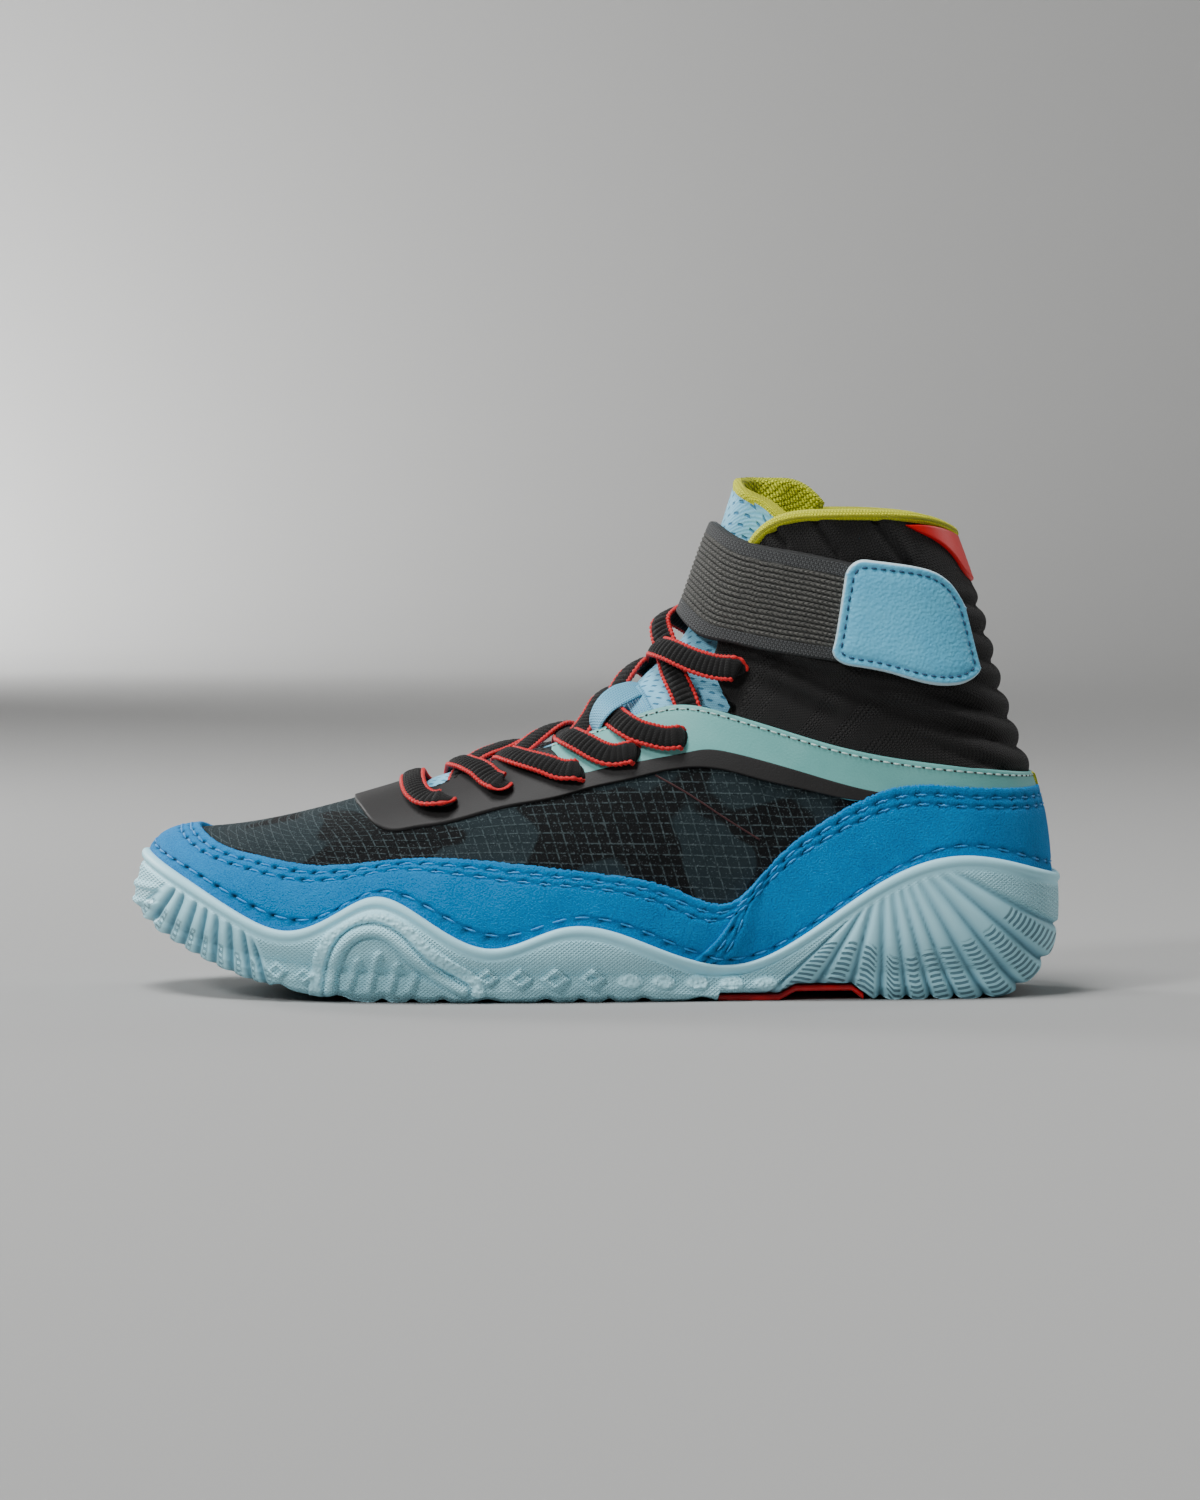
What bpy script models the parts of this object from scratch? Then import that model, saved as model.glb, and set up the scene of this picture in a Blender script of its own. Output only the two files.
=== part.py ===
"""High-top wrestling shoe for the left foot.

The toe points to -X, the outer side of the foot faces -Y and the sole stands on Z = 0.
The upper is a fan of sections. Each section is a plane seen edge on from the side: it runs from a back
point, under the foot or behind the heel, to a front point on the instep ridge. Every other soft piece
is laid on that one surface, at its own distance from it.
"""

import math

import bmesh
import bpy
import numpy as np

# Driving dimensions in millimetres
MM = 0.001
BALL_REACH = 45.7
FOOT_WALL = 2.0
COLLAR_WALL = 4.5
COLLAR_START = 84.0
COLLAR_FULL = 104.0
GAP = 0.3
SUEDE = 1.2
CUP_GAP = 0.6
FOOTBED_GAP = 0.3
INSOLE_THICK = 3.5
INSOLE_CLEAR = 0.6
TONGUE_THICK = 3.0
TONGUE_INSET = 1.3
STRAP_THICK = 1.8
STRAP_LIFT = 0.7
TAB_THICK = 1.8
LACE_WIDTH = 8.4
LACE_THICK = 2.0
LACE_LIFT = 0.8
BAR_LIFT = 1.0
KEEPER_WIDTH = 11.0
KEEPER_THICK = 1.0
PLATE_THICK = 1.9
RIB_DEPTH = 1.0

# Sections of the last, toe first: back point, front point, reach to each side, ridge line, and the shape
# of the curve (share of the way up where it is widest, fullness in front of that and behind it)
LAST_COLUMNS = ("back_x", "back_z", "front_x", "front_z", "lateral", "medial", "ridge",
                "widest", "front_full", "back_full")
LAST = {
    "tip": (-139.5, 30.0, -139.5, 44.2, 10.0, 10.0, 10.0, 0.45, 2.3, 2.5),
    "nose": (-136.5, 25.0, -136.8, 47.4, -5.0, 24.5, 9.8, 0.45, 2.3, 2.5),
    "toe_cap": (-128.0, 16.5, -128.5, 50.6, -20.5, 34.0, 9.3, 0.44, 2.3, 2.5),
    "toe": (-113.0, 8.0, -113.0, 52.2, -32.5, 40.5, 8.6, 0.42, 2.3, 2.5),
    "toe_box": (-93.0, 2.5, -92.0, 56.2, -40.0, 44.0, 7.8, 0.38, 2.25, 2.5),
    "joint": (-71.0, 0.0, -68.0, 62.8, -44.3, 45.3, 7.0, 0.33, 2.15, 2.5),
    "ball": (-47.0, -1.5, -43.0, 70.8, -BALL_REACH, 43.5, 6.0, 0.29, 2.05, 2.5),
    "vamp": (-22.0, -2.5, -20.0, 79.8, -45.0, 40.0, 5.0, 0.26, 2.0, 2.5),
    "waist": (4.0, -3.0, -2.0, 89.4, -43.0, 36.5, 4.0, 0.25, 2.0, 2.5),
    "arch": (32.0, -3.0, 10.5, 101.0, -40.0, 34.0, 3.0, 0.25, 2.0, 2.5),
    "instep": (62.0, -2.5, 18.8, 108.8, -37.5, 33.0, 2.5, 0.26, 2.05, 2.6),
    "seat": (92.0, -2.0, 24.4, 114.4, -36.0, 33.0, 2.0, 0.28, 2.1, 2.7),
    "heel_girth": (119.0, -1.5, 28.2, 119.8, -35.0, 33.0, 1.5, 0.32, 2.2, 2.8),
    "heel_low": (136.0, 5.5, 30.5, 124.7, -34.3, 33.0, 1.0, 0.37, 2.25, 2.8),
    "heel_mid": (142.0, 20.5, 32.3, 129.2, -34.0, 33.0, 1.0, 0.40, 2.3, 2.7),
    "counter": (142.2, 39.5, 33.9, 133.6, -34.0, 33.3, 1.0, 0.42, 2.3, 2.6),
    "counter_top": (139.8, 58.5, 35.4, 138.0, -34.0, 33.5, 1.0, 0.44, 2.3, 2.5),
    "ankle_low": (134.2, 76.0, 36.8, 142.3, -33.8, 33.5, 1.0, 0.45, 2.3, 2.4),
    "ankle": (128.4, 93.0, 38.2, 146.4, -33.5, 33.3, 1.0, 0.46, 2.3, 2.35),
    "ankle_high": (123.8, 110.0, 39.5, 150.5, -33.3, 33.2, 1.0, 0.47, 2.3, 2.3),
    "collar": (118.9, 127.5, 40.8, 154.6, -33.3, 33.2, 1.0, 0.48, 2.3, 2.3),
    "collar_top": (112.5, 145.2, 42.2, 158.9, -33.5, 33.4, 1.0, 0.48, 2.3, 2.3),
    "tongue_top": (106.0, 161.8, 44.0, 163.8, -33.8, 33.6, 1.0, 0.48, 2.3, 2.3),
}
NAMES = tuple(LAST)

# Heights along the shoe seen from the side, toe first, as pairs of x and z
FOOTBED = ((-139.5, 29.7), (-130.0, 23.3), (-115.0, 17.0), (-95.0, 12.2), (-70.0, 9.6), (-40.0, 8.6),
           (0.0, 8.0), (50.0, 8.0), (90.0, 8.5), (120.0, 9.0), (145.0, 9.6))
GROUND = ((-145.0, 30.0), (-140.0, 22.8), (-135.0, 18.5), (-127.0, 14.3), (-118.0, 10.2), (-108.0, 6.6),
          (-96.0, 3.6), (-83.0, 1.2), (-70.0, 0.0), (124.0, 0.0), (131.5, 1.6), (137.5, 5.8),
          (142.0, 12.0), (145.0, 22.0))
RIM_WAVE = ((-139.5, 44.2), (-128.0, 38.1), (-110.0, 27.5), (-94.0, 22.0), (-79.0, 27.8), (-67.6, 32.8),
            (-53.7, 27.1), (-32.2, 16.9), (-10.0, 23.3), (20.0, 16.4), (45.5, 11.6), (63.4, 19.8),
            (88.1, 36.5), (114.0, 44.8), (142.2, 37.8))
SUEDE_TOP = ((-124.5, 51.2), (-118.4, 47.6), (-104.0, 43.9), (-88.1, 41.7), (-60.1, 43.8), (-29.2, 43.3),
             (1.6, 39.9), (26.3, 34.5), (43.9, 31.9), (54.2, 42.3), (72.8, 57.0), (92.9, 66.3),
             (115.0, 66.4), (138.2, 65.2))

# Edge of the throat and the collar: share of the way round from toe to heel, x, z
TOP_EDGE = ((0.00, -55.8, 66.6), (0.10, -54.6, 65.7), (0.19, -51.0, 65.5), (0.27, -42.5, 68.9),
            (0.35, -29.0, 73.3), (0.43, -13.0, 78.2), (0.485, 0.7, 83.0), (0.53, 14.0, 88.2),
            (0.565, 27.0, 91.2), (0.59, 36.6, 90.0), (0.61, 41.0, 91.6), (0.632, 39.4, 96.0),
            (0.655, 37.0, 102.4), (0.683, 38.4, 112.0), (0.715, 42.6, 126.0), (0.755, 48.6, 142.0),
            (0.79, 56.0, 148.8), (0.84, 69.0, 151.0), (0.905, 90.5, 151.0), (0.957, 106.0, 148.6),
            (1.00, 112.5, 145.2))

# Edges of the tongue, strap and tab seen from the side as pairs of x and z, the tongue from its foot up,
# the others from the front back
TONGUE_LATERAL = ((-60.0, 58.5), (-30.0, 65.5), (0.0, 74.5), (27.0, 83.5), (46.0, 94.0), (50.0, 111.0),
                  (54.0, 131.0), (58.0, 149.5))
TONGUE_MEDIAL = ((-60.0, 58.5), (-30.0, 65.5), (0.0, 74.5), (27.0, 83.5), (46.0, 94.0), (53.0, 111.0),
                 (60.0, 131.0), (68.0, 156.5))
STRAP_UPPER = ((38.6, 147.6), (41.5, 145.4), (46.6, 142.5), (63.4, 139.0), (78.2, 135.9), (103.7, 131.2))
STRAP_LOWER = ((27.2, 118.0), (30.6, 114.0), (38.9, 110.8), (51.2, 108.5), (75.1, 105.0), (107.0, 99.4))
TAB_UPPER = ((78.0, 137.4), (93.0, 135.2), (105.5, 131.2), (113.3, 123.6))
TAB_LOWER = ((75.0, 104.4), (92.0, 101.2), (108.0, 97.0), (120.5, 98.6))

# Lace holes on the outer side, toe first, and the sections where the lace crosses the ridge
LACE_HOLES = ((-46.5, 62.8), (-27.9, 66.6), (-3.7, 72.0), (13.1, 75.5), (28.3, 82.2), (44.1, 102.4))
RIDGE_CROSS = (5.5, 5.98, 6.68, 7.48, 8.5, 9.8)
UNDER_SHARE = 0.45
KEEPER_SPAN = (7.85, 9.2)
TONGUE_ENDS = (5.15, 21.75)
TONGUE_EMERGES = (5.55, 6.1)

# Rubber wall from the rim down: share of the height, distance outside the upper, share of the rib depth
WALL_PROFILE = ((0.0, 4.0, 0.0), (0.22, 4.5, 0.2), (0.5, 5.3, 0.8), (0.74, 5.4, 1.0), (0.9, 4.0, 1.0),
                (1.0, 0.8, 0.6))
WALL_RIM = WALL_PROFILE[0][1]
WALL_SWELL = ((-140.0, 1.6), (-110.0, 1.0), (95.0, 1.0), (135.0, 0.2))
RIB_CENTRE = 8.0
RIB_FREE = 72.0

# Red plate under the arch: x, z along its top, and how far it and the notch for it reach to each side
PLATE_TOP = ((38.3, 2.1), (57.1, 2.1), (62.2, 4.9), (79.8, 4.9), (83.4, 2.1))
PLATE_SIDES = (-36.0, 29.5)
NOTCH_TOP = ((37.9, 2.4), (57.0, 2.4), (62.1, 5.2), (79.9, 5.2), (87.0, -0.4))
NOTCH_SIDES = (-60.0, 60.0)
NOTCH_DEPTH = -4.0

# How finely the pieces are faceted
HALF_COLUMNS = 44
RIM_ROWS = 3
SUEDE_ROWS = 2
TOP_ROWS = 6
SEAM_COLUMN = 27
SEAM_SHIFT = 0.04
TONGUE_ROWS = 17
TONGUE_HALF = 6
TONGUE_OPEN = (0.3, 0.75)
STRAP_HALF = 15
STRAP_ROWS = 3
TAB_COLUMNS = 10
TAB_ROWS = 5
TAB_ROUND = 0.16
TAB_TRIM = 0.16
LACE_STEPS = 5
KEEPER_STEPS = 12
KEEPER_ARCH = 0.5


def spline(knots, values, flat_start=False, flat_end=False):
    """Cubic curve through the values. A flat end leaves without slope, a free end without bend."""
    at = np.asarray(knots, float)
    value = np.asarray(values, float)
    gap = np.diff(at)
    slope = np.diff(value) / gap
    count = len(at)
    system = np.zeros((count, count))
    pull = np.zeros(count)
    for i in range(1, count - 1):
        system[i, i - 1:i + 2] = gap[i - 1], 2 * (gap[i - 1] + gap[i]), gap[i]
        pull[i] = 6 * (slope[i] - slope[i - 1])
    system[0, 0] = 1
    system[-1, -1] = 1
    if flat_start:
        system[0, :2] = 2 * gap[0], gap[0]
        pull[0] = 6 * slope[0]
    if flat_end:
        system[-1, -2:] = gap[-1], 2 * gap[-1]
        pull[-1] = -6 * slope[-1]
    bend = np.linalg.solve(system, pull)

    def curve(where):
        where = np.clip(np.asarray(where, float), at[0], at[-1])
        i = np.clip(np.searchsorted(at, where, side="right") - 1, 0, count - 2)
        after = where - at[i]
        before = at[i + 1] - where
        cubic = (bend[i] * before ** 3 + bend[i + 1] * after ** 3) / (6 * gap[i])
        start = (value[i] / gap[i] - bend[i] * gap[i] / 6) * before
        return cubic + start + (value[i + 1] / gap[i] - bend[i + 1] * gap[i] / 6) * after

    return curve


def height(pairs):
    """Smooth height over x through pairs of x and z."""
    return spline([pair[0] for pair in pairs], [pair[1] for pair in pairs])


def straight(pairs):
    """Height over x in straight runs between pairs of x and z."""
    xs = [pair[0] for pair in pairs]
    zs = [pair[1] for pair in pairs]
    return lambda x: np.interp(x, xs, zs)


SECTION = {}
for number, column in enumerate(LAST_COLUMNS):
    column_values = [row[number] for row in LAST.values()]
    SECTION[column] = spline(range(len(LAST)), column_values, flat_start=column[-2:] in ("_x", "_z"))

footbed = height(FOOTBED)
ground = straight(GROUND)
rim_wave = height(RIM_WAVE)
suede_top = height(SUEDE_TOP)


def surface(section, rise, side):
    """Points on the outside of the upper. Rise runs from 0 at the back point to 1 at the ridge."""
    share = np.sin(rise * math.pi / 2) ** 2
    at = {name: curve(section) for name, curve in SECTION.items()}
    x = at["back_x"] + share * (at["front_x"] - at["back_x"])
    z = at["back_z"] + share * (at["front_z"] - at["back_z"])
    ahead = np.clip((share - at["widest"]) / (1 - at["widest"]), 0, 1)
    behind = np.clip((at["widest"] - share) / at["widest"], 0, 1)
    front = (1 - ahead ** at["front_full"]) ** (1 / at["front_full"])
    back = (1 - behind ** at["back_full"]) ** (1 / at["back_full"])
    reach = at["lateral"] if side < 0 else at["medial"]
    y = at["ridge"] + (reach - at["ridge"]) * front * back
    return np.stack(np.broadcast_arrays(x, y, z), axis=-1)


FAN = np.linspace(0, len(LAST) - 1, 2201)
FAN_BACK = np.stack([SECTION["back_x"](FAN), SECTION["back_z"](FAN)], axis=-1)
FAN_LINE = np.stack([SECTION["front_x"](FAN), SECTION["front_z"](FAN)], axis=-1) - FAN_BACK


def locate(x, z):
    """Section and rise of points given as they are seen from the side."""
    x = np.atleast_1d(np.asarray(x, float))
    z = np.atleast_1d(np.asarray(z, float))
    off_x = x[:, None] - FAN_BACK[None, :, 0]
    off_z = z[:, None] - FAN_BACK[None, :, 1]
    passed = FAN_LINE[None, :, 0] * off_z - FAN_LINE[None, :, 1] * off_x
    i = np.clip(np.argmax(passed >= 0, axis=1), 1, len(FAN) - 1)
    i[passed.max(axis=1) < 0] = len(FAN) - 1
    each = np.arange(len(x))
    before = passed[each, i - 1]
    part = np.clip(before / (before - passed[each, i] - 1e-12), 0, 1)
    section = FAN[i - 1] + part * (FAN[i] - FAN[i - 1])
    back_x = SECTION["back_x"](section)
    back_z = SECTION["back_z"](section)
    line_x = SECTION["front_x"](section) - back_x
    line_z = SECTION["front_z"](section) - back_z
    share = ((x - back_x) * line_x + (z - back_z) * line_z) / (line_x ** 2 + line_z ** 2)
    return section, np.arcsin(np.sqrt(np.clip(share, 0, 1))) * 2 / math.pi


def back_station(z, low):
    """Section number where the back line of the last passes the height z, searched above a section."""
    stations = np.linspace(low, len(LAST) - 1, 1200)
    return float(np.interp(z, SECTION["back_z"](stations), stations))


def sweep(first, last, share):
    """Even steps round a closed outline seen edge on: slow near both ends."""
    return first + (last - first) * (1 - np.cos(math.pi * share)) / 2


SEAT_BACK = back_station(FOOTBED[-1][1], NAMES.index("heel_girth"))
RIM_BACK = back_station(RIM_WAVE[-1][1], NAMES.index("heel_low"))
SUEDE_BACK = back_station(SUEDE_TOP[-1][1], NAMES.index("heel_low"))
EDGE_X = spline([row[0] for row in TOP_EDGE], [row[1] for row in TOP_EDGE], True, True)
EDGE_Z = spline([row[0] for row in TOP_EDGE], [row[2] for row in TOP_EDGE], True, True)


def on_ends(section, rise, share, front, back):
    """Hold the toe end of an outline to the ridge and the heel end to the back line."""
    toe = share <= 0
    heel = share >= 1
    section = np.where(toe, front, np.where(heel, back, section))
    return section, np.where(toe, 1.0, np.where(heel, 0.0, rise))


def feather_line(share):
    """Lower edge of the upper, where it meets the footbed."""
    x = sweep(LAST["tip"][0], SECTION["back_x"](SEAT_BACK), share)
    section, rise = locate(x, footbed(x) + FOOTBED_GAP)
    section = np.where(share <= 0, 0.0, np.where(share >= 1, SEAT_BACK, section))
    return section, np.where((share <= 0) | (share >= 1), 0.0, rise)


def rim_line(share):
    """Wavy top of the rubber, seen on the upper."""
    x = sweep(RIM_WAVE[0][0], SECTION["back_x"](RIM_BACK), share)
    section, rise = locate(x, rim_wave(x))
    return on_ends(section, rise, share, 0.0, RIM_BACK)


def suede_line(share):
    """Top of the suede all round the foot."""
    x = sweep(SUEDE_TOP[0][0], SECTION["back_x"](SUEDE_BACK), share)
    front, _ = locate(SUEDE_TOP[0][0], SUEDE_TOP[0][1])
    section, rise = locate(x, suede_top(x))
    return on_ends(section, rise, share, front[0], SUEDE_BACK)


def top_line(share):
    """Edge of the throat and the collar."""
    front, _ = locate(TOP_EDGE[0][1], TOP_EDGE[0][2])
    section, rise = locate(EDGE_X(share), EDGE_Z(share))
    return on_ends(section, rise, share, front[0], float(NAMES.index("collar_top")))


def between(low, high, rows):
    """Section and rise on a number of rows from one line to another, both as returned by a line."""
    part = np.linspace(0, 1, rows + 1)[:, None]
    return low[0] + (high[0] - low[0]) * part, low[1] + (high[1] - low[1]) * part


def shell_rows(share):
    """Rows of section and rise from the feather line up to the collar, for shares of the way round."""
    lines = [line(share) for line in (feather_line, rim_line, suede_line, top_line)]
    bands = [between(lines[0], lines[1], RIM_ROWS), between(lines[1], lines[2], SUEDE_ROWS),
             between(lines[2], lines[3], TOP_ROWS)]
    section = np.concatenate([bands[0][0], bands[1][0][1:], bands[2][0][1:]])
    rise = np.concatenate([bands[0][1], bands[1][1][1:], bands[2][1][1:]])
    return section, rise


def normals(grid, ring):
    """Outward normals of a grid of points, rows by columns, closed round its columns or open."""
    if ring:
        along = np.roll(grid, -1, axis=1) - np.roll(grid, 1, axis=1)
    else:
        along = np.gradient(grid, axis=1)
    up = np.gradient(grid, axis=0)
    face = np.cross(along, up)
    return face / np.maximum(np.linalg.norm(face, axis=2, keepdims=True), 1e-9)


def ring_grid(share):
    """Grid round the whole shoe: out along the outer side from toe to heel, back along the inner side."""
    section, rise = shell_rows(share)
    lateral = surface(section, rise, -1)
    medial = surface(section, rise, 1)
    return np.concatenate([lateral, medial[:, -2:0:-1]], axis=1)


def arc_grid(share, toe):
    """Part of the ring through the toe or through the heel, from the outer side to the inner side."""
    section, rise = shell_rows(share)
    lateral = surface(section, rise, -1)
    medial = surface(section, rise, 1)
    if toe:
        return np.concatenate([medial[:, ::-1], lateral[:, 1:]], axis=1)
    return np.concatenate([lateral, medial[:, -2::-1]], axis=1)


def side_curve(pairs, flat_start):
    """Curve through pairs of x and z, run by the share of its length."""
    points = np.array(pairs)
    steps = np.linalg.norm(np.diff(points, axis=0), axis=1)
    run = np.append(0, np.cumsum(steps)) / steps.sum()
    along_x = spline(run, points[:, 0], flat_start)
    along_z = spline(run, points[:, 1], flat_start)
    return lambda share: (along_x(share), along_z(share))


def wall_at(z):
    """Thickness of the upper at a height: thin on the foot, padded at the ankle."""
    return FOOT_WALL + (COLLAR_WALL - FOOT_WALL) * smooth_step(z, COLLAR_START, COLLAR_FULL)


def smooth_step(value, low, high):
    part = np.clip((value - low) / (high - low), 0, 1)
    return part * part * (3 - 2 * part)


def path_points(path):
    """Points on the surface and outward normals along a path of sections, rises and sides."""
    section, rise, side = path
    step = 0.004
    points = []
    outward = []
    for s, r, hand in zip(section, rise, side):
        low = min(r, 1 - step)
        here = surface(s, low, hand)
        ahead = surface(s + step, low, hand) - here
        up = surface(s, low + step / 2, hand) - here
        normal = np.cross(ahead, up) * -hand
        points.append(surface(s, r, hand))
        outward.append(normal / np.linalg.norm(normal))
    return np.array(points), np.array(outward)


def lace_path(high, cross, low, side, reach):
    """Path of a length of lace from a hole on one side, over the ridge, towards a hole on the other."""
    part = np.linspace(0, 1, LACE_STEPS + 1)
    ease = (1 - (1 - part) ** 2)
    near_section = high[0] + (cross - high[0]) * ease
    near_rise = high[1] + (1 - high[1]) * part
    far = part[1:] * reach
    far_section = cross + (low[0] - cross) * far ** 2
    far_rise = 1 + (low[1] - 1) * far
    section = np.append(near_section, far_section)
    rise = np.append(near_rise, far_rise)
    return section, rise, np.append(np.full(len(part), side), np.full(len(far), -side))


def add_ribbon(name, path, level, width, thick, slot, group):
    """Flat band along a path on the surface, its middle at a level above the surface."""
    points, outward = path_points(path)
    points = points + outward * np.broadcast_to(level, len(points))[:, None]
    tangent = np.gradient(points, axis=0)
    tangent /= np.linalg.norm(tangent, axis=1, keepdims=True)
    aside = np.cross(tangent, outward)
    aside /= np.linalg.norm(aside, axis=1, keepdims=True)
    face_up = np.cross(aside, tangent)
    ring = [points + aside * (a * width / 2) + face_up * (b * thick / 2)
            for a, b in ((-1, -1), (1, -1), (1, 1), (-1, 1))]
    rows = np.stack(ring, axis=1)
    faces = grid_faces(len(rows), 4, True)
    last = 4 * (len(rows) - 1)
    faces += [(3, 2, 1, 0), (last, last + 1, last + 2, last + 3)]
    return add_closed(name, rows.reshape(-1, 3), faces, slot, group)


def add_bar(name, outline, sides, slot, group):
    """Outline of x and z pairs carried straight across from one side to the other."""
    ends = [np.insert(np.array(outline), 1, side, axis=1) for side in sides]
    count = len(outline)
    faces = [(i, i + count, (i + 1) % count + count, (i + 1) % count) for i in range(count)]
    faces += [tuple(range(count)), tuple(range(2 * count - 1, count - 1, -1))]
    return add_closed(name, np.concatenate(ends), faces, slot, group)


def boolean(item, other, operation):
    """Join another solid to an item, or cut the item with it. The other solid is hidden."""
    other.hide_render = True
    other.display_type = "WIRE"
    change = item.modifiers.new(operation.lower(), "BOOLEAN")
    change.operation = operation
    change.solver = "EXACT"
    change.object = other


def clear_scene():
    for item in list(bpy.data.objects):
        bpy.data.objects.remove(item, do_unlink=True)


def collection(name):
    group = bpy.data.collections.new(name)
    bpy.context.scene.collection.children.link(group)
    return group


def material(name, colour, roughness):
    made = bpy.data.materials.new(name)
    made.use_nodes = True
    shader = made.node_tree.nodes["Principled BSDF"]
    shader.inputs["Base Color"].default_value = (*colour, 1)
    shader.inputs["Roughness"].default_value = roughness
    shader.inputs["Metallic"].default_value = 0
    return made


def add_mesh(name, points, faces, slot, group):
    """Object from points in millimetres and faces."""
    mesh = bpy.data.meshes.new(name)
    mesh.from_pydata([tuple(point * MM) for point in points], [], faces)
    mesh.materials.append(slot)
    item = bpy.data.objects.new(name, mesh)
    group.objects.link(item)
    return item


def add_closed(name, points, faces, slot, group):
    """Closed object, with its faces turned outward."""
    item = add_mesh(name, points, faces, slot, group)
    shape = bmesh.new()
    shape.from_mesh(item.data)
    bmesh.ops.recalc_face_normals(shape, faces=shape.faces)
    shape.to_mesh(item.data)
    shape.free()
    return item


def grid_faces(rows, columns, ring):
    faces = []
    for row in range(0, (rows - 1) * columns, columns):
        for column in range(columns if ring else columns - 1):
            right = (column + 1) % columns
            faces.append((row + column, row + right, row + columns + right, row + columns + column))
    return faces


def thicken(item, thickness, outward, group_name=None, least=1.0):
    solid = item.modifiers.new("wall", "SOLIDIFY")
    solid.thickness = thickness * MM
    solid.offset = 1 if outward else -1
    if group_name:
        solid.vertex_group = group_name
        solid.thickness_vertex_group = least


def add_sheet(name, grid, ring, thickness, outward, slot, group):
    """Open surface on a grid, thickened outward or inward."""
    rows, columns = grid.shape[:2]
    item = add_mesh(name, grid.reshape(-1, 3), grid_faces(rows, columns, ring), slot, group)
    thicken(item, thickness, outward)
    return item


def add_loft(name, loops, slot, group):
    """Closed solid from rings of points, capped by strips under the first ring and over the last one."""
    rows, columns = loops.shape[:2]
    faces = grid_faces(rows, columns, True)
    for base, flip in ((0, True), ((rows - 1) * columns, False)):
        for step in range(columns // 2):
            near = [base + step, base + step + 1]
            far = [base + (columns - step) % columns, base + columns - step - 1]
            face = [near[0], near[1], far[1], far[0]]
            face = [corner for k, corner in enumerate(face) if corner not in face[:k]]
            faces.append(face[::-1] if flip else face)
    return add_closed(name, loops.reshape(-1, 3), faces, slot, group)


clear_scene()
shoe = collection("high_top_shoe")
RUBBER = material("sole_rubber", (0.36, 0.60, 0.68), 0.55)
RED_PLASTIC = material("arch_plastic", (0.42, 0.03, 0.04), 0.45)
FOAM = material("insole_foam", (0.62, 0.66, 0.05), 0.9)
MESH_CLOTH = material("upper_cloth", (0.03, 0.04, 0.045), 0.85)
SUEDE_SKIN = material("blue_suede", (0.02, 0.26, 0.52), 0.9)
TONGUE_CLOTH = material("tongue_cloth", (0.30, 0.58, 0.75), 0.85)
WEBBING = material("strap_elastic", (0.08, 0.085, 0.09), 0.85)
TAB_SKIN = material("tab_leather", (0.26, 0.58, 0.78), 0.5)
LACE_CORD = material("lace_cord", (0.02, 0.02, 0.022), 0.8)
KEEPER_WEB = material("keeper_web", (0.25, 0.52, 0.72), 0.8)

# Upper: one hollow wall, thicker where the ankle is padded
SHARE = np.linspace(0, 1, HALF_COLUMNS + 1)
shell = ring_grid(SHARE)
shell_out = normals(shell, True)
ROWS, COLUMNS = shell.shape[:2]
upper = add_mesh("upper", shell.reshape(-1, 3), grid_faces(ROWS, COLUMNS, True), MESH_CLOTH, shoe)
padding = upper.vertex_groups.new(name="padding")
for vertex, thickness in enumerate(wall_at(shell[:, :, 2]).reshape(-1)):
    padding.add([vertex], float(thickness / COLLAR_WALL), "REPLACE")
thicken(upper, COLLAR_WALL, False, "padding", 0.0)

# Suede bands round the toe and the heel, a gap outside the upper
BAND_ROWS = RIM_ROWS + SUEDE_ROWS + 1
seam = (SEAM_COLUMN - SEAM_SHIFT) / HALF_COLUMNS
toe_share = np.append(SHARE[:SEAM_COLUMN], seam)
toe_band = arc_grid(toe_share, True)[1:BAND_ROWS]
add_sheet("toe_rand", toe_band + normals(toe_band, False) * GAP, False, SUEDE, True, SUEDE_SKIN, shoe)
seam = (SEAM_COLUMN + SEAM_SHIFT) / HALF_COLUMNS
heel_share = np.append(seam, SHARE[SEAM_COLUMN + 1:])
heel_band = arc_grid(heel_share, False)[1:BAND_ROWS]
add_sheet("heel_counter", heel_band + normals(heel_band, False) * GAP, False, SUEDE, True, SUEDE_SKIN, shoe)

# Rubber cup: inside against the suede, over the rim, down the ribbed wall and under
inner = shell[:RIM_ROWS + 1] + shell_out[:RIM_ROWS + 1] * (GAP + SUEDE + CUP_GAP)
inner[0, :, 2] = footbed(inner[0, :, 0])
flat_out = shell_out[:RIM_ROWS + 1].copy()
flat_out[:, :, 2] = 0
flat_out /= np.linalg.norm(flat_out, axis=2, keepdims=True)
foot_edge = shell[0] + flat_out[0] * WALL_PROFILE[-1][1]
floor_z = ground(foot_edge[:, 0])
swell = straight(WALL_SWELL)(foot_edge[:, 0])
rim_z = shell[RIM_ROWS, :, 2]
rib_zone = (np.abs(foot_edge[:, 0] - RIB_CENTRE) > RIB_FREE) & (np.arange(COLUMNS) % 2 == 0)
wall_rows = []
for down, reach, rib in WALL_PROFILE:
    row = np.zeros((COLUMNS, 3))
    bulge = reach + np.maximum(reach - WALL_RIM, 0) * (swell - 1)
    row[:, 2] = rim_z + (floor_z - rim_z) * down
    for at in range(COLUMNS):
        levels = shell[:RIM_ROWS + 1, at, 2]
        for axis in (0, 1):
            out = np.interp(row[at, 2], levels, flat_out[:, at, axis])
            row[at, axis] = np.interp(row[at, 2], levels, shell[:RIM_ROWS + 1, at, axis]) + out * bulge[at]
    row[:, :2] -= np.where(rib_zone, RIB_DEPTH * rib, 0.0)[:, None] * flat_out[0, :, :2]
    wall_rows.append(row)
cup = np.concatenate([np.stack(wall_rows[::-1]), inner[::-1]])
outsole = add_loft("outsole", cup, RUBBER, shoe)
cutters = collection("cutters")
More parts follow.
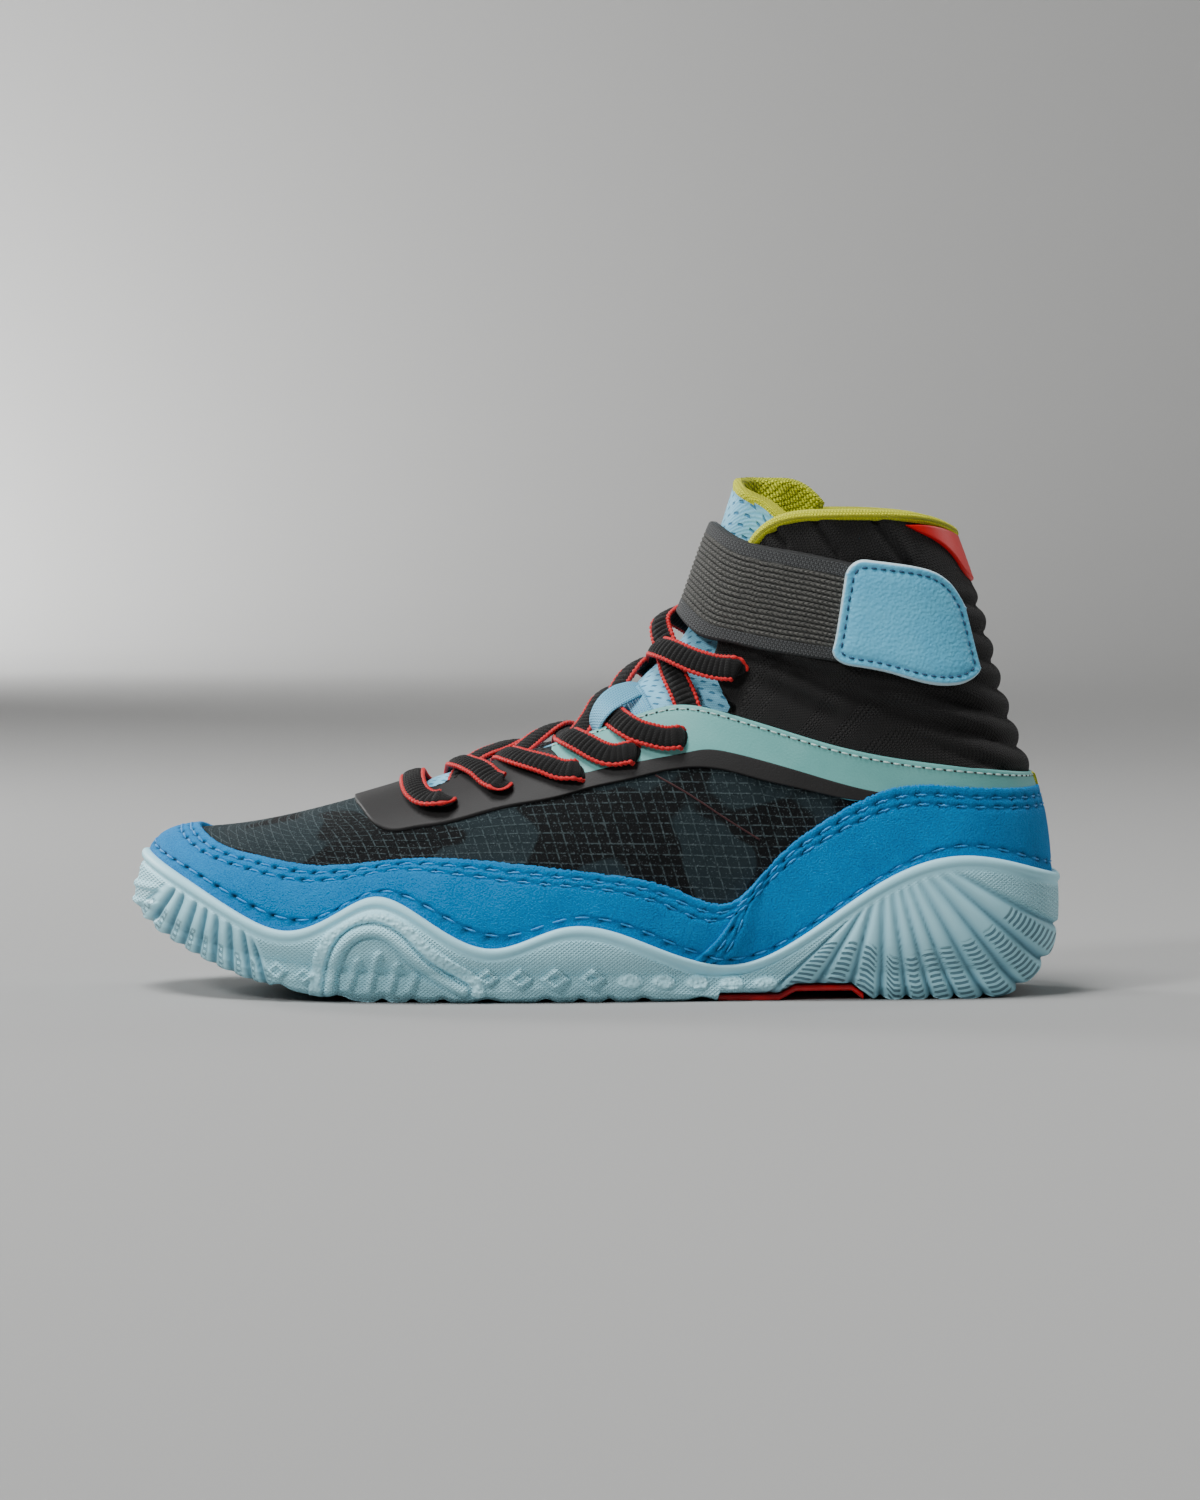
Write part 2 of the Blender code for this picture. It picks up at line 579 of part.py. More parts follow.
notch_floor = ((NOTCH_TOP[-1][0], NOTCH_DEPTH), (NOTCH_TOP[0][0], NOTCH_DEPTH))
notch = add_bar("arch_notch", NOTCH_TOP + notch_floor, NOTCH_SIDES, RUBBER, cutters)
boolean(outsole, notch, "DIFFERENCE")

# Insole: lies on the footbed inside the wall
inside = shell[0] - flat_out[0] * (FOOT_WALL + INSOLE_CLEAR)
low_loop = inside.copy()
low_loop[:, 2] = footbed(inside[:, 0]) + FOOTBED_GAP
high_loop = low_loop.copy()
high_loop[:, 2] += INSOLE_THICK
add_loft("insole", np.stack([low_loop, high_loop]), FOAM, shoe)

# Arch plate: a bent bar across the notch in the sole
plate_under = tuple((x, z - PLATE_THICK) for x, z in PLATE_TOP[::-1])
add_bar("arch_plate", PLATE_TOP + plate_under, PLATE_SIDES, RED_PLASTIC, shoe)

# Tongue: under the throat edges at its sides, level with the upper along the middle
along = np.linspace(0, 1, TONGUE_ROWS + 1)
across = np.linspace(0, 1, TONGUE_HALF + 1)
ridge_section = TONGUE_ENDS[0] + (TONGUE_ENDS[1] - TONGUE_ENDS[0]) * along
halves = []
for edge_table, side in ((TONGUE_LATERAL, -1), (TONGUE_MEDIAL, 1)):
    edge_section, edge_rise = locate(*side_curve(edge_table, False)(along))
    section = edge_section[:, None] + (ridge_section - edge_section)[:, None] * across
    rise = edge_rise[:, None] + (1 - edge_rise)[:, None] * across
    halves.append((surface(section, rise, side), section))
tongue_grid = np.concatenate([halves[1][0], halves[0][0][:, -2::-1]], axis=1)
tongue_section = np.concatenate([halves[1][1], halves[0][1][:, -2::-1]], axis=1)
middle = np.concatenate([across, across[-2::-1]])
tucked = wall_at(tongue_grid[:, :, 2]) + 4 * GAP
open_part = smooth_step(middle, *TONGUE_OPEN)[None, :] * smooth_step(tongue_section, *TONGUE_EMERGES)
sink = tucked + (TONGUE_INSET - tucked) * open_part
tongue_grid = tongue_grid - normals(tongue_grid, False) * sink[:, :, None]
add_sheet("tongue", tongue_grid, False, TONGUE_THICK, False, TONGUE_CLOTH, shoe)

# Ankle strap and its tab
upper_edge = locate(*side_curve(STRAP_UPPER, True)(np.linspace(0, 1, STRAP_HALF + 1)))
lower_edge = locate(*side_curve(STRAP_LOWER, True)(np.linspace(0, 1, STRAP_HALF + 1)))
upper_edge = (upper_edge[0], np.append(1.0, upper_edge[1][1:]))
lower_edge = (lower_edge[0], np.append(1.0, lower_edge[1][1:]))
strap_rows = between(lower_edge, upper_edge, STRAP_ROWS)
strap_grid = np.concatenate([surface(*strap_rows, 1)[:, :0:-1], surface(*strap_rows, -1)], axis=1)
strap_grid = strap_grid + normals(strap_grid, False) * STRAP_LIFT
add_sheet("ankle_strap", strap_grid, False, STRAP_THICK, True, WEBBING, shoe)

tab_along = np.linspace(0, 1, TAB_COLUMNS + 1)
near_end = np.clip(np.minimum(tab_along, 1 - tab_along) / TAB_ROUND, 0, 1)
trim = TAB_TRIM * (1 - np.sqrt(1 - (1 - near_end) ** 2))
tab_rows = between(locate(*side_curve(TAB_LOWER, False)(tab_along)),
                   locate(*side_curve(TAB_UPPER, False)(tab_along)), TAB_ROWS)
squeeze = np.linspace(0, 1, TAB_ROWS + 1)[:, None]
squeeze = trim[None, :] + squeeze * (1 - 2 * trim[None, :])
tab_section = tab_rows[0][0] + (tab_rows[0][-1] - tab_rows[0][0]) * squeeze
tab_rise = tab_rows[1][0] + (tab_rows[1][-1] - tab_rows[1][0]) * squeeze
tab_grid = surface(tab_section, tab_rise, -1)
tab_grid = tab_grid + normals(tab_grid, False) * (STRAP_LIFT + STRAP_THICK + 2 * GAP)
add_sheet("strap_tab", tab_grid, False, TAB_THICK, True, TAB_SKIN, shoe)

# Lace: a bar at the foot of the throat and five crossings above it, each crossing one joined solid
hole_section, hole_rise = locate([hole[0] for hole in LACE_HOLES], [hole[1] for hole in LACE_HOLES])
lace_level = LACE_LIFT + LACE_THICK / 2
bar = lace_path((hole_section[0], hole_rise[0]), RIDGE_CROSS[0], (hole_section[0], hole_rise[0]), -1, 1.0)
add_ribbon("lace_bar", bar, BAR_LIFT + LACE_THICK / 2, LACE_WIDTH, LACE_THICK, LACE_CORD, shoe)
for hole in range(1, len(LACE_HOLES)):
    high = (hole_section[hole], hole_rise[hole])
    low = (hole_section[hole - 1], hole_rise[hole - 1])
    legs = []
    for side, group in ((-1, shoe), (1, cutters)):
        name = f"lace_cross_{hole}" if side < 0 else f"lace_leg_{hole}"
        path = lace_path(high, RIDGE_CROSS[hole], low, side, UNDER_SHARE)
        legs.append(add_ribbon(name, path, lace_level, LACE_WIDTH, LACE_THICK, LACE_CORD, group))
    boolean(legs[0], legs[1], "UNION")

# Keeper: a webbing loop sewn to the tongue, over the fourth crossing
keeper_section = np.linspace(*KEEPER_SPAN, KEEPER_STEPS + 1)
keeper_path = (keeper_section, np.full(KEEPER_STEPS + 1, 0.9999), np.full(KEEPER_STEPS + 1, -1))
arch = np.sin(np.linspace(0, math.pi, KEEPER_STEPS + 1)) ** KEEPER_ARCH
foot_level = 2 * GAP + KEEPER_THICK / 2 - TONGUE_INSET
top_level = LACE_LIFT + LACE_THICK + 3 * GAP + KEEPER_THICK / 2
keeper_level = foot_level + (top_level - foot_level) * arch
add_ribbon("lace_keeper", keeper_path, keeper_level, KEEPER_WIDTH, KEEPER_THICK, KEEPER_WEB, shoe)
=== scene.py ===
# %% [markdown]
# # A high-top wrestling shoe for the left foot
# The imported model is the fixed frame: every CAD node stays where it is, and each cell below makes a finer
# piece that stands for one or more of those nodes. The toe points to -X, the outer side of the foot faces
# -Y and the sole stands on Z = 0. Sizes are in millimetres until a mesh is made.

# %% Load the fixed frame
import math

import bpy
import numpy as np
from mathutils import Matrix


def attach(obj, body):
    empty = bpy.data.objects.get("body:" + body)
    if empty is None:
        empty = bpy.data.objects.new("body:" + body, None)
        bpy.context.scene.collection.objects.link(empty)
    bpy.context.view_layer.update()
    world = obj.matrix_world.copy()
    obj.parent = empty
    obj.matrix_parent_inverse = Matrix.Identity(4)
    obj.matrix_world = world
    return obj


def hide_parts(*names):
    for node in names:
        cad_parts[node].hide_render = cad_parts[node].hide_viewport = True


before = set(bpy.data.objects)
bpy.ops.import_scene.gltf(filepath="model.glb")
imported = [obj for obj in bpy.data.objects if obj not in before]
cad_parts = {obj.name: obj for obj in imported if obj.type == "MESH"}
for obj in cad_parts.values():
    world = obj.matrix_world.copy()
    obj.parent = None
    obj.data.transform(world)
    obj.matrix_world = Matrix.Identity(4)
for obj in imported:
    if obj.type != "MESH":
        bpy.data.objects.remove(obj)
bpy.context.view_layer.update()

MM = 0.001

# %% [markdown]
# ## Smooth curves from short tables
# A shoemaker draws a few points and lets a flexible strip of wood find the line between them. A natural
# cubic spline is that strip. NumPy solves it in a few lines, which keeps every outline below short.


# %% Curves
def spline(knots, values, flat_start=False, flat_end=False):
    """Cubic curve through the values. A flat end leaves without slope, a free end without bend."""
    at = np.asarray(knots, float)
    value = np.asarray(values, float)
    gap = np.diff(at)
    slope = np.diff(value) / gap
    count = len(at)
    system = np.zeros((count, count))
    pull = np.zeros(count)
    for i in range(1, count - 1):
        system[i, i - 1:i + 2] = gap[i - 1], 2 * (gap[i - 1] + gap[i]), gap[i]
        pull[i] = 6 * (slope[i] - slope[i - 1])
    system[0, 0] = 1
    system[-1, -1] = 1
    if flat_start:
        system[0, :2] = 2 * gap[0], gap[0]
        pull[0] = 6 * slope[0]
    if flat_end:
        system[-1, -2:] = gap[-1], 2 * gap[-1]
        pull[-1] = -6 * slope[-1]
    bend = np.linalg.solve(system, pull)

    def curve(where):
        where = np.clip(np.asarray(where, float), at[0], at[-1])
        i = np.clip(np.searchsorted(at, where, side="right") - 1, 0, count - 2)
        after = where - at[i]
        before = at[i + 1] - where
        cubic = (bend[i] * before ** 3 + bend[i + 1] * after ** 3) / (6 * gap[i])
        start = (value[i] / gap[i] - bend[i] * gap[i] / 6) * before
        return cubic + start + (value[i + 1] / gap[i] - bend[i + 1] * gap[i] / 6) * after

    return curve


def height(pairs):
    """Smooth height over x through pairs of x and z."""
    return spline([pair[0] for pair in pairs], [pair[1] for pair in pairs])


def straight(pairs):
    """Height over x in straight runs between pairs of x and z."""
    xs = [pair[0] for pair in pairs]
    zs = [pair[1] for pair in pairs]
    return lambda x: np.interp(x, xs, zs)


def side_curve(pairs, flat_start=False):
    """Curve through pairs of x and z, run by the share of its length."""
    points = np.array(pairs)
    steps = np.linalg.norm(np.diff(points, axis=0), axis=1)
    run = np.append(0, np.cumsum(steps)) / steps.sum()
    along_x = spline(run, points[:, 0], flat_start)
    along_z = spline(run, points[:, 1], flat_start)
    return lambda share: (along_x(share), along_z(share))


def smooth_step(value, low, high):
    part = np.clip((value - low) / (high - low), 0, 1)
    return part * part * (3 - 2 * part)


def boxy(wave, power):
    """Sine or cosine for a ring with flat sides and round corners. With power 1 the ring is round."""
    return np.sign(wave) * np.abs(wave) ** power


# %% [markdown]
# ## The last
# A last is the form that a shoe is built on. Ours is a fan of sections, each a plane seen edge on from the
# side: it runs from a back point, under the foot or behind the heel, to a front point on the instep ridge.
# A subdivision cage could give the same body, but with sections every sewn piece can be placed by its
# outline as the camera sees it and still wrap the foot.

# %% Sections of the last
LAST_COLUMNS = ("back_x", "back_z", "front_x", "front_z", "lateral", "medial", "ridge",
                "widest", "front_full", "back_full")
LAST = {
    "tip": (-139.5, 30.0, -139.5, 44.2, 10.0, 10.0, 10.0, 0.45, 2.3, 2.5),
    "nose": (-136.5, 25.0, -136.8, 47.4, -5.0, 24.5, 9.8, 0.45, 2.3, 2.5),
    "toe_cap": (-128.0, 16.5, -128.5, 50.6, -20.5, 34.0, 9.3, 0.44, 2.3, 2.5),
    "toe": (-113.0, 8.0, -113.0, 52.2, -32.5, 40.5, 8.6, 0.42, 2.3, 2.5),
    "toe_box": (-93.0, 2.5, -92.0, 56.2, -40.0, 44.0, 7.8, 0.38, 2.25, 2.5),
    "joint": (-71.0, 0.0, -68.0, 62.8, -44.3, 45.3, 7.0, 0.33, 2.15, 2.5),
    "ball": (-47.0, -1.5, -43.0, 70.8, -45.7, 43.5, 6.0, 0.29, 2.05, 2.5),
    "vamp": (-22.0, -2.5, -20.0, 79.8, -45.0, 40.0, 5.0, 0.26, 2.0, 2.5),
    "waist": (4.0, -3.0, -2.0, 89.4, -43.0, 36.5, 4.0, 0.25, 2.0, 2.5),
    "arch": (32.0, -3.0, 10.5, 101.0, -40.0, 34.0, 3.0, 0.25, 2.0, 2.5),
    "instep": (62.0, -2.5, 18.8, 108.8, -37.5, 33.0, 2.5, 0.26, 2.05, 2.6),
    "seat": (92.0, -2.0, 24.4, 114.4, -36.0, 33.0, 2.0, 0.28, 2.1, 2.7),
    "heel_girth": (119.0, -1.5, 28.2, 119.8, -35.0, 33.0, 1.5, 0.32, 2.2, 2.8),
    "heel_low": (136.0, 5.5, 30.5, 124.7, -34.3, 33.0, 1.0, 0.37, 2.25, 2.8),
    "heel_mid": (142.0, 20.5, 32.3, 129.2, -34.0, 33.0, 1.0, 0.40, 2.3, 2.7),
    "counter": (142.2, 39.5, 33.9, 133.6, -34.0, 33.3, 1.0, 0.42, 2.3, 2.6),
    "counter_top": (139.8, 58.5, 35.4, 138.0, -34.0, 33.5, 1.0, 0.44, 2.3, 2.5),
    "ankle_low": (134.2, 76.0, 36.8, 142.3, -33.8, 33.5, 1.0, 0.45, 2.3, 2.4),
    "ankle": (128.4, 93.0, 38.2, 146.4, -33.5, 33.3, 1.0, 0.46, 2.3, 2.35),
    "ankle_high": (123.8, 110.0, 39.5, 150.5, -33.3, 33.2, 1.0, 0.47, 2.3, 2.3),
    "collar": (118.9, 127.5, 40.8, 154.6, -33.3, 33.2, 1.0, 0.48, 2.3, 2.3),
    "collar_top": (112.5, 145.2, 42.2, 158.9, -33.5, 33.4, 1.0, 0.48, 2.3, 2.3),
    "tongue_top": (106.0, 161.8, 44.0, 163.8, -33.8, 33.6, 1.0, 0.48, 2.3, 2.3),
}
NAMES = tuple(LAST)
SECTION = {}
for number, column in enumerate(LAST_COLUMNS):
    column_values = [row[number] for row in LAST.values()]
    SECTION[column] = spline(range(len(LAST)), column_values, flat_start=column[-2:] in ("_x", "_z"))


def surface(section, rise, side):
    """Points on the outside of the upper. Rise runs from 0 at the back point to 1 at the ridge."""
    share = np.sin(rise * math.pi / 2) ** 2
    at = {name: curve(section) for name, curve in SECTION.items()}
    x = at["back_x"] + share * (at["front_x"] - at["back_x"])
    z = at["back_z"] + share * (at["front_z"] - at["back_z"])
    ahead = np.clip((share - at["widest"]) / (1 - at["widest"]), 0, 1)
    behind = np.clip((at["widest"] - share) / at["widest"], 0, 1)
    front = (1 - ahead ** at["front_full"]) ** (1 / at["front_full"])
    back = (1 - behind ** at["back_full"]) ** (1 / at["back_full"])
    reach = np.where(np.asarray(side) < 0, at["lateral"], at["medial"])
    y = at["ridge"] + (reach - at["ridge"]) * front * back
    return np.stack(np.broadcast_arrays(x, y, z), axis=-1)


FAN = np.linspace(0, len(LAST) - 1, 2201)
FAN_BACK = np.stack([SECTION["back_x"](FAN), SECTION["back_z"](FAN)], axis=-1)
FAN_FRONT = np.stack([SECTION["front_x"](FAN), SECTION["front_z"](FAN)], axis=-1)


def fan_place(x, z, starts, ends, numbers):
    """Where points lie in a fan of straight lines: number of the line, and share along it."""
    line = ends - starts
    off_x = x[:, None] - starts[None, :, 0]
    off_z = z[:, None] - starts[None, :, 1]
    passed = line[None, :, 0] * off_z - line[None, :, 1] * off_x
    i = np.clip(np.argmax(passed >= 0, axis=1), 1, len(numbers) - 1)
    i[passed.max(axis=1) < 0] = len(numbers) - 1
    each = np.arange(len(x))
    before = passed[each, i - 1]
    part = np.clip(before / (before - passed[each, i] - 1e-12), 0, 1)
    number = numbers[i - 1] + part * (numbers[i] - numbers[i - 1])
    start = starts[i - 1] + part[:, None] * (starts[i] - starts[i - 1])
    reach = ends[i - 1] + part[:, None] * (ends[i] - ends[i - 1]) - start
    offset = np.stack([x, z], axis=-1) - start
    return number, (offset * reach).sum(axis=1) / (reach ** 2).sum(axis=1)


def locate(x, z):
    """Section and rise of points given as they are seen from the side."""
    x = np.atleast_1d(np.asarray(x, float))
    z = np.atleast_1d(np.asarray(z, float))
    section, share = fan_place(x, z, FAN_BACK, FAN_FRONT, FAN)
    return section, np.arcsin(np.sqrt(np.clip(share, 0, 1))) * 2 / math.pi


print("sections of the last:", len(LAST))

# %% [markdown]
# ## The four lines round the shoe
# A pattern cutter marks the feather edge, the top of the rubber, the top of the suede and the edge of the
# throat and collar. Each line goes from toe to heel by a share from 0 to 1, and both sides of the foot use
# it. Between two lines every other row of the upper is a plain blend.

# %% Lines round the upper
FOOTBED = (
    (-139.5, 29.7), (-130.0, 23.3), (-115.0, 17.0), (-95.0, 12.2), (-70.0, 9.6), (-40.0, 8.6), (0.0, 8.0),
    (50.0, 8.0), (90.0, 8.5), (120.0, 9.0), (145.0, 9.6))
RIM_WAVE = (
    (-139.5, 44.2), (-128.0, 38.1), (-110.0, 27.5), (-94.0, 22.0), (-79.0, 27.8), (-67.6, 32.8),
    (-53.7, 27.1), (-32.2, 16.9), (-10.0, 23.3), (20.0, 16.4), (45.5, 11.6), (63.4, 19.8), (88.1, 36.5),
    (114.0, 44.8), (142.2, 37.8))
SUEDE_TOP = (
    (-124.5, 51.2), (-118.4, 47.6), (-104.0, 43.9), (-88.1, 41.7), (-60.1, 43.8), (-29.2, 43.3),
    (1.6, 39.9), (26.3, 34.5), (43.9, 31.9), (54.2, 42.3), (72.8, 57.0), (92.9, 66.3), (115.0, 66.4),
    (138.2, 65.2))
# Edge of the throat and the collar: share of the way round from toe to heel, x, z
TOP_EDGE = (
    (0.00, -55.8, 66.6), (0.10, -55.2, 64.8), (0.19, -51.6, 64.3), (0.27, -43.0, 67.6), (0.35, -29.0, 73.3),
    (0.43, -13.0, 78.2), (0.485, 0.7, 83.0), (0.53, 14.0, 88.2), (0.565, 27.0, 91.2), (0.59, 36.6, 89.9),
    (0.61, 42.4, 89.2), (0.632, 40.4, 94.2), (0.655, 37.0, 102.4), (0.683, 38.4, 112.0),
    (0.715, 42.6, 126.0), (0.755, 48.6, 142.0), (0.79, 56.0, 148.8), (0.84, 69.0, 151.0),
    (0.905, 90.5, 151.0), (0.957, 106.0, 148.6), (1.00, 112.5, 145.2))
FOOTBED_GAP = 0.3
footbed = height(FOOTBED)
rim_wave = height(RIM_WAVE)
suede_top = height(SUEDE_TOP)
edge_x = spline([row[0] for row in TOP_EDGE], [row[1] for row in TOP_EDGE], True, True)
edge_z = spline([row[0] for row in TOP_EDGE], [row[2] for row in TOP_EDGE], True, True)


def back_station(z, low):
    """Section number where the back line of the last passes the height z, searched above a section."""
    stations = np.linspace(NAMES.index(low), len(LAST) - 1, 1200)
    return float(np.interp(z, SECTION["back_z"](stations), stations))


def on_ends(place, share, front, back):
    """Hold the toe end of a line to the ridge and the heel end to the back of the last."""
    section = np.where(share <= 0, front, np.where(share >= 1, back, place[0]))
    return section, np.where(share <= 0, 1.0, np.where(share >= 1, 0.0, place[1]))


def round_line(pairs, curve, back, front=None):
    """Section and rise along a line round the foot, in even steps seen from above."""
    x = pairs[0][0] + (SECTION["back_x"](back) - pairs[0][0]) * (1 - np.cos(math.pi * STEPS)) / 2
    start = locate(*pairs[0])[0][0] if front is None else front
    return on_ends(locate(x, curve(x)), STEPS, start, back)


STEPS = np.linspace(0, 1, 1601)
LINES = {
    "feather": round_line(FOOTBED, lambda x: footbed(x) + FOOTBED_GAP,
                          back_station(FOOTBED[-1][1], "heel_girth"), 0.0),
    "rim": round_line(RIM_WAVE, rim_wave, back_station(RIM_WAVE[-1][1], "heel_low"), 0.0),
    "suede": round_line(SUEDE_TOP, suede_top, back_station(SUEDE_TOP[-1][1], "heel_low")),
    "top": on_ends(locate(edge_x(STEPS), edge_z(STEPS)), STEPS, locate(*TOP_EDGE[0][1:])[0][0],
                   float(NAMES.index("collar_top"))),
}
LINES["feather"][1][0] = 0.0


def on_line(name, share):
    """Section and rise on one of the lines at shares of the way round."""
    return [np.interp(share, STEPS, values) for values in LINES[name]]


def blend(low, high, part):
    """Section and rise between two places."""
    return [a + (b - a) * part for a, b in zip(low, high)]


print("lines round the shoe:", ", ".join(LINES))

# %% [markdown]
# ## From grids of points to meshes
# Nearly every piece is a sheet of rows and columns laid on the last. One helper makes the mesh, another
# lifts a sheet off the last with rounded edges and a skirt, so that it reads as cut leather or cloth and
# not as paint. The texture coordinates are real centimetres along and across the sheet, so weaves and ribs
# keep their size.


# %% Grids and sheets
def normals(grid, ring=False):
    """Outward normals of a grid of points. Where points coincide, the neighbours lend theirs."""
    if ring:
        along = np.roll(grid, -1, axis=1) - np.roll(grid, 1, axis=1)
    else:
        along = np.gradient(grid, axis=1)
    face = np.cross(along, np.gradient(grid, axis=0))
    for _ in range(4):
        size = np.linalg.norm(face, axis=2, keepdims=True)
        lent = np.roll(face, 1, axis=1) + np.roll(face, -1, axis=1)
        face = np.where(size < 0.05 * np.median(size), lent, face)
    return face / np.maximum(np.linalg.norm(face, axis=2, keepdims=True), 1e-9)


def runs(grid, axis):
    """Distance along the rows or the columns of a grid, from its first point."""
    steps = np.linalg.norm(np.diff(grid, axis=axis), axis=2)
    first = np.zeros_like(np.take(steps, [0], axis=axis))
    return np.concatenate([first, np.cumsum(steps, axis=axis)], axis=axis)


def both_sides(place, through):
    """Grid over both sides of the foot: a closed ring, or an arc through the heel or through the toe."""
    lateral = surface(*place, -1)
    medial = surface(*place, 1)
    if through == "toe":
        return np.concatenate([medial[:, ::-1], lateral[:, 1:]], axis=1)
    last = 0 if through == "ring" else None
    return np.concatenate([lateral, medial[:, -2:last:-1]], axis=1)


def grid_faces(rows, columns, ring):
    """Corner numbers of the faces of a grid."""
    row, column = np.meshgrid(np.arange(rows - 1), np.arange(columns if ring else columns - 1), indexing="ij")
    right = (column + 1) % columns
    corners = (row * columns + column, row * columns + right,
               (row + 1) * columns + right, (row + 1) * columns + column)
    return np.stack(corners, axis=-1).reshape(-1, 4)


print("faces of a grid of 4 by 5 points:", len(grid_faces(4, 5, False)))


# %% Pieces from grids
def new_piece(name, points, faces, finishes, chosen=None):
    """Smooth mesh object from points in millimetres, riding on the shoe's one body."""
    mesh = bpy.data.meshes.new(name)
    mesh.from_pydata((points * MM).tolist(), [], [list(face) for face in faces])
    for finish in finishes:
        mesh.materials.append(finish)
    if chosen is not None:
        mesh.polygons.foreach_set("material_index", np.asarray(chosen, np.int32))
    mesh.polygons.foreach_set("use_smooth", np.ones(len(mesh.polygons), bool))
    mesh.update()
    piece = bpy.data.objects.new(name, mesh)
    bpy.context.scene.collection.objects.link(piece)
    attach(piece, "root")
    return piece


def add_uv(piece, name, rows, columns, ring, across, along):
    """Texture coordinates in centimetres. A ring gets one more column, so that its seam stays true."""
    corner_row = np.array([0, 0, 1, 1])
    corner_column = np.array([0, 1, 1, 0])
    row, column = np.meshgrid(np.arange(rows - 1), np.arange(columns if ring else columns - 1), indexing="ij")
    at_row = row.reshape(-1, 1) + corner_row
    at_column = column.reshape(-1, 1) + corner_column
    if ring:
        at_column = np.where((at_column == columns) & (across.shape[1] == columns), 0, at_column)
    layer = piece.data.uv_layers.new(name=name)
    values = np.stack([across[at_row, at_column], along[at_row, at_column]], axis=-1) / 10
    flat = np.zeros((len(piece.data.loops), 2))
    flat[:values.size // 2] = values.reshape(-1, 2)
    layer.data.foreach_set("uv", flat.astype(np.float32).reshape(-1))


def grid_piece(name, grid, finish, ring=False):
    """Piece from one grid, with its own runs as texture coordinates."""
    rows, columns = grid.shape[:2]
    piece = new_piece(name, grid.reshape(-1, 3), grid_faces(rows, columns, ring), [finish])
    add_uv(piece, "cloth", rows, columns, ring, runs(grid, 1), runs(grid, 0))
    return piece


def edged(count, width):
    """Shares across a width, with fine steps at both edges so that they can be rounded."""
    near = np.array([0.0, 0.12, 0.35, 0.75]) / width
    inner = np.linspace(near[-1], 1 - near[-1], count)[1:-1]
    return np.concatenate([near, inner, 1 - near[::-1]])


SKIRT = 0.45


def raise_sheet(grid, lift, thick, ring=False, rounding=0.7, relief=0.0):
    """Lift a grid off the last by a level and a thickness, with rounded edges that go down to the level."""
    out = normals(grid, ring)
    up = runs(grid, 0)
    inside = np.minimum(up, up[-1:] - up)
    if not ring:
        along = runs(grid, 1)
        inside = np.minimum(inside, np.minimum(along, along[:, -1:] - along))
    edge = np.sqrt(1 - (1 - np.clip(inside / rounding, 0, 1)) ** 2)
    level = lift + (thick + relief) * edge
    sides = (0, 0) if ring else (1, 1)
    top = np.pad(grid + out * level[:, :, None], ((1, 1), sides, (0, 0)), mode="edge")
    foot = np.pad(grid + out * (np.zeros_like(level) + lift - SKIRT)[:, :, None], ((1, 1), sides, (0, 0)),
                  mode="edge")
    top[[0, -1]] = foot[[0, -1]]
    if not ring:
        top[:, [0, -1]] = foot[:, [0, -1]]
    return top


print("sheet skirt in mm:", SKIRT)

# %% [markdown]
# ## Shader helpers and shared effects
# Cloth, suede and rubber are told apart by how their surface breaks up the light, so several effects are
# used again and again: an uneven dye, knitted loops, woven threads and a mesh of dots. Each one is a node
# group with named inputs that puts out one value. The Principled shader stays in each finish.


# %% Shader helpers
def paint(red, green, blue):
    """Linear colour from the 0 to 255 values that a screen shows."""
    shown = np.array([red, green, blue]) / 255
    linear = np.where(shown <= 0.04045, shown / 12.92, ((shown + 0.055) / 1.055) ** 2.4)
    return (*linear.tolist(), 1.0)


def add(tree, kind, inputs=None, **settings):
    """New node with its settings. An input takes a value, or a link from another node's socket."""
    made = tree.nodes.new(kind)
    for name, value in settings.items():
        setattr(made, name, value)
    for name, value in (inputs or {}).items():
        if isinstance(value, bpy.types.NodeSocket):
            tree.links.new(value, made.inputs[name])
        else:
            made.inputs[name].default_value = value
    return made


def sums(tree, operation, *values):
    """Output of a Math node."""
    return add(tree, "ShaderNodeMath", dict(enumerate(values)), operation=operation).outputs[0]


def times(tree, *values):
    """Product of two values."""
    return sums(tree, "MULTIPLY", *values)


def ramp(tree, value, low, high, start=0.0, end=1.0):
    """Value carried smoothly from one range to another."""
    limits = {"Value": value, "From Min": low, "From Max": high, "To Min": start, "To Max": end}
    return add(tree, "ShaderNodeMapRange", limits, interpolation_type="SMOOTHSTEP").outputs["Result"]


MIX_A, MIX_B, MIX_RESULT = 6, 7, 2


def mix(tree, share, low, high):
    """Colour between two colours."""
    made = add(tree, "ShaderNodeMix", {0: share, MIX_A: low, MIX_B: high}, data_type="RGBA")
    return made.outputs[MIX_RESULT]


def sheet_place(tree, layer="cloth"):
    """Millimetres along and across a sheet, from its texture coordinates."""
    place = add(tree, "ShaderNodeUVMap", uv_map=layer).outputs["UV"]
    scaled = add(tree, "ShaderNodeVectorMath", {0: place, 1: (10.0, 10.0, 10.0)}, operation="MULTIPLY")
    parts = add(tree, "ShaderNodeSeparateXYZ", {0: scaled.outputs[0]})
    return parts.outputs["X"], parts.outputs["Y"]


def new_finish(name, roughness, shine=0.5, **values):
    """Material with its Principled shader. Values that are the same all over are set on the shader."""
    made = bpy.data.materials.new(name)
    made.use_nodes = True
    tree = made.node_tree
    shader = tree.nodes["Principled BSDF"]
    shader.inputs["Roughness"].default_value = roughness
    shader.inputs["Specular IOR Level"].default_value = shine
    for label, value in values.items():
        shader.inputs[label.replace("_", " ").title()].default_value = value
    return made, tree, shader


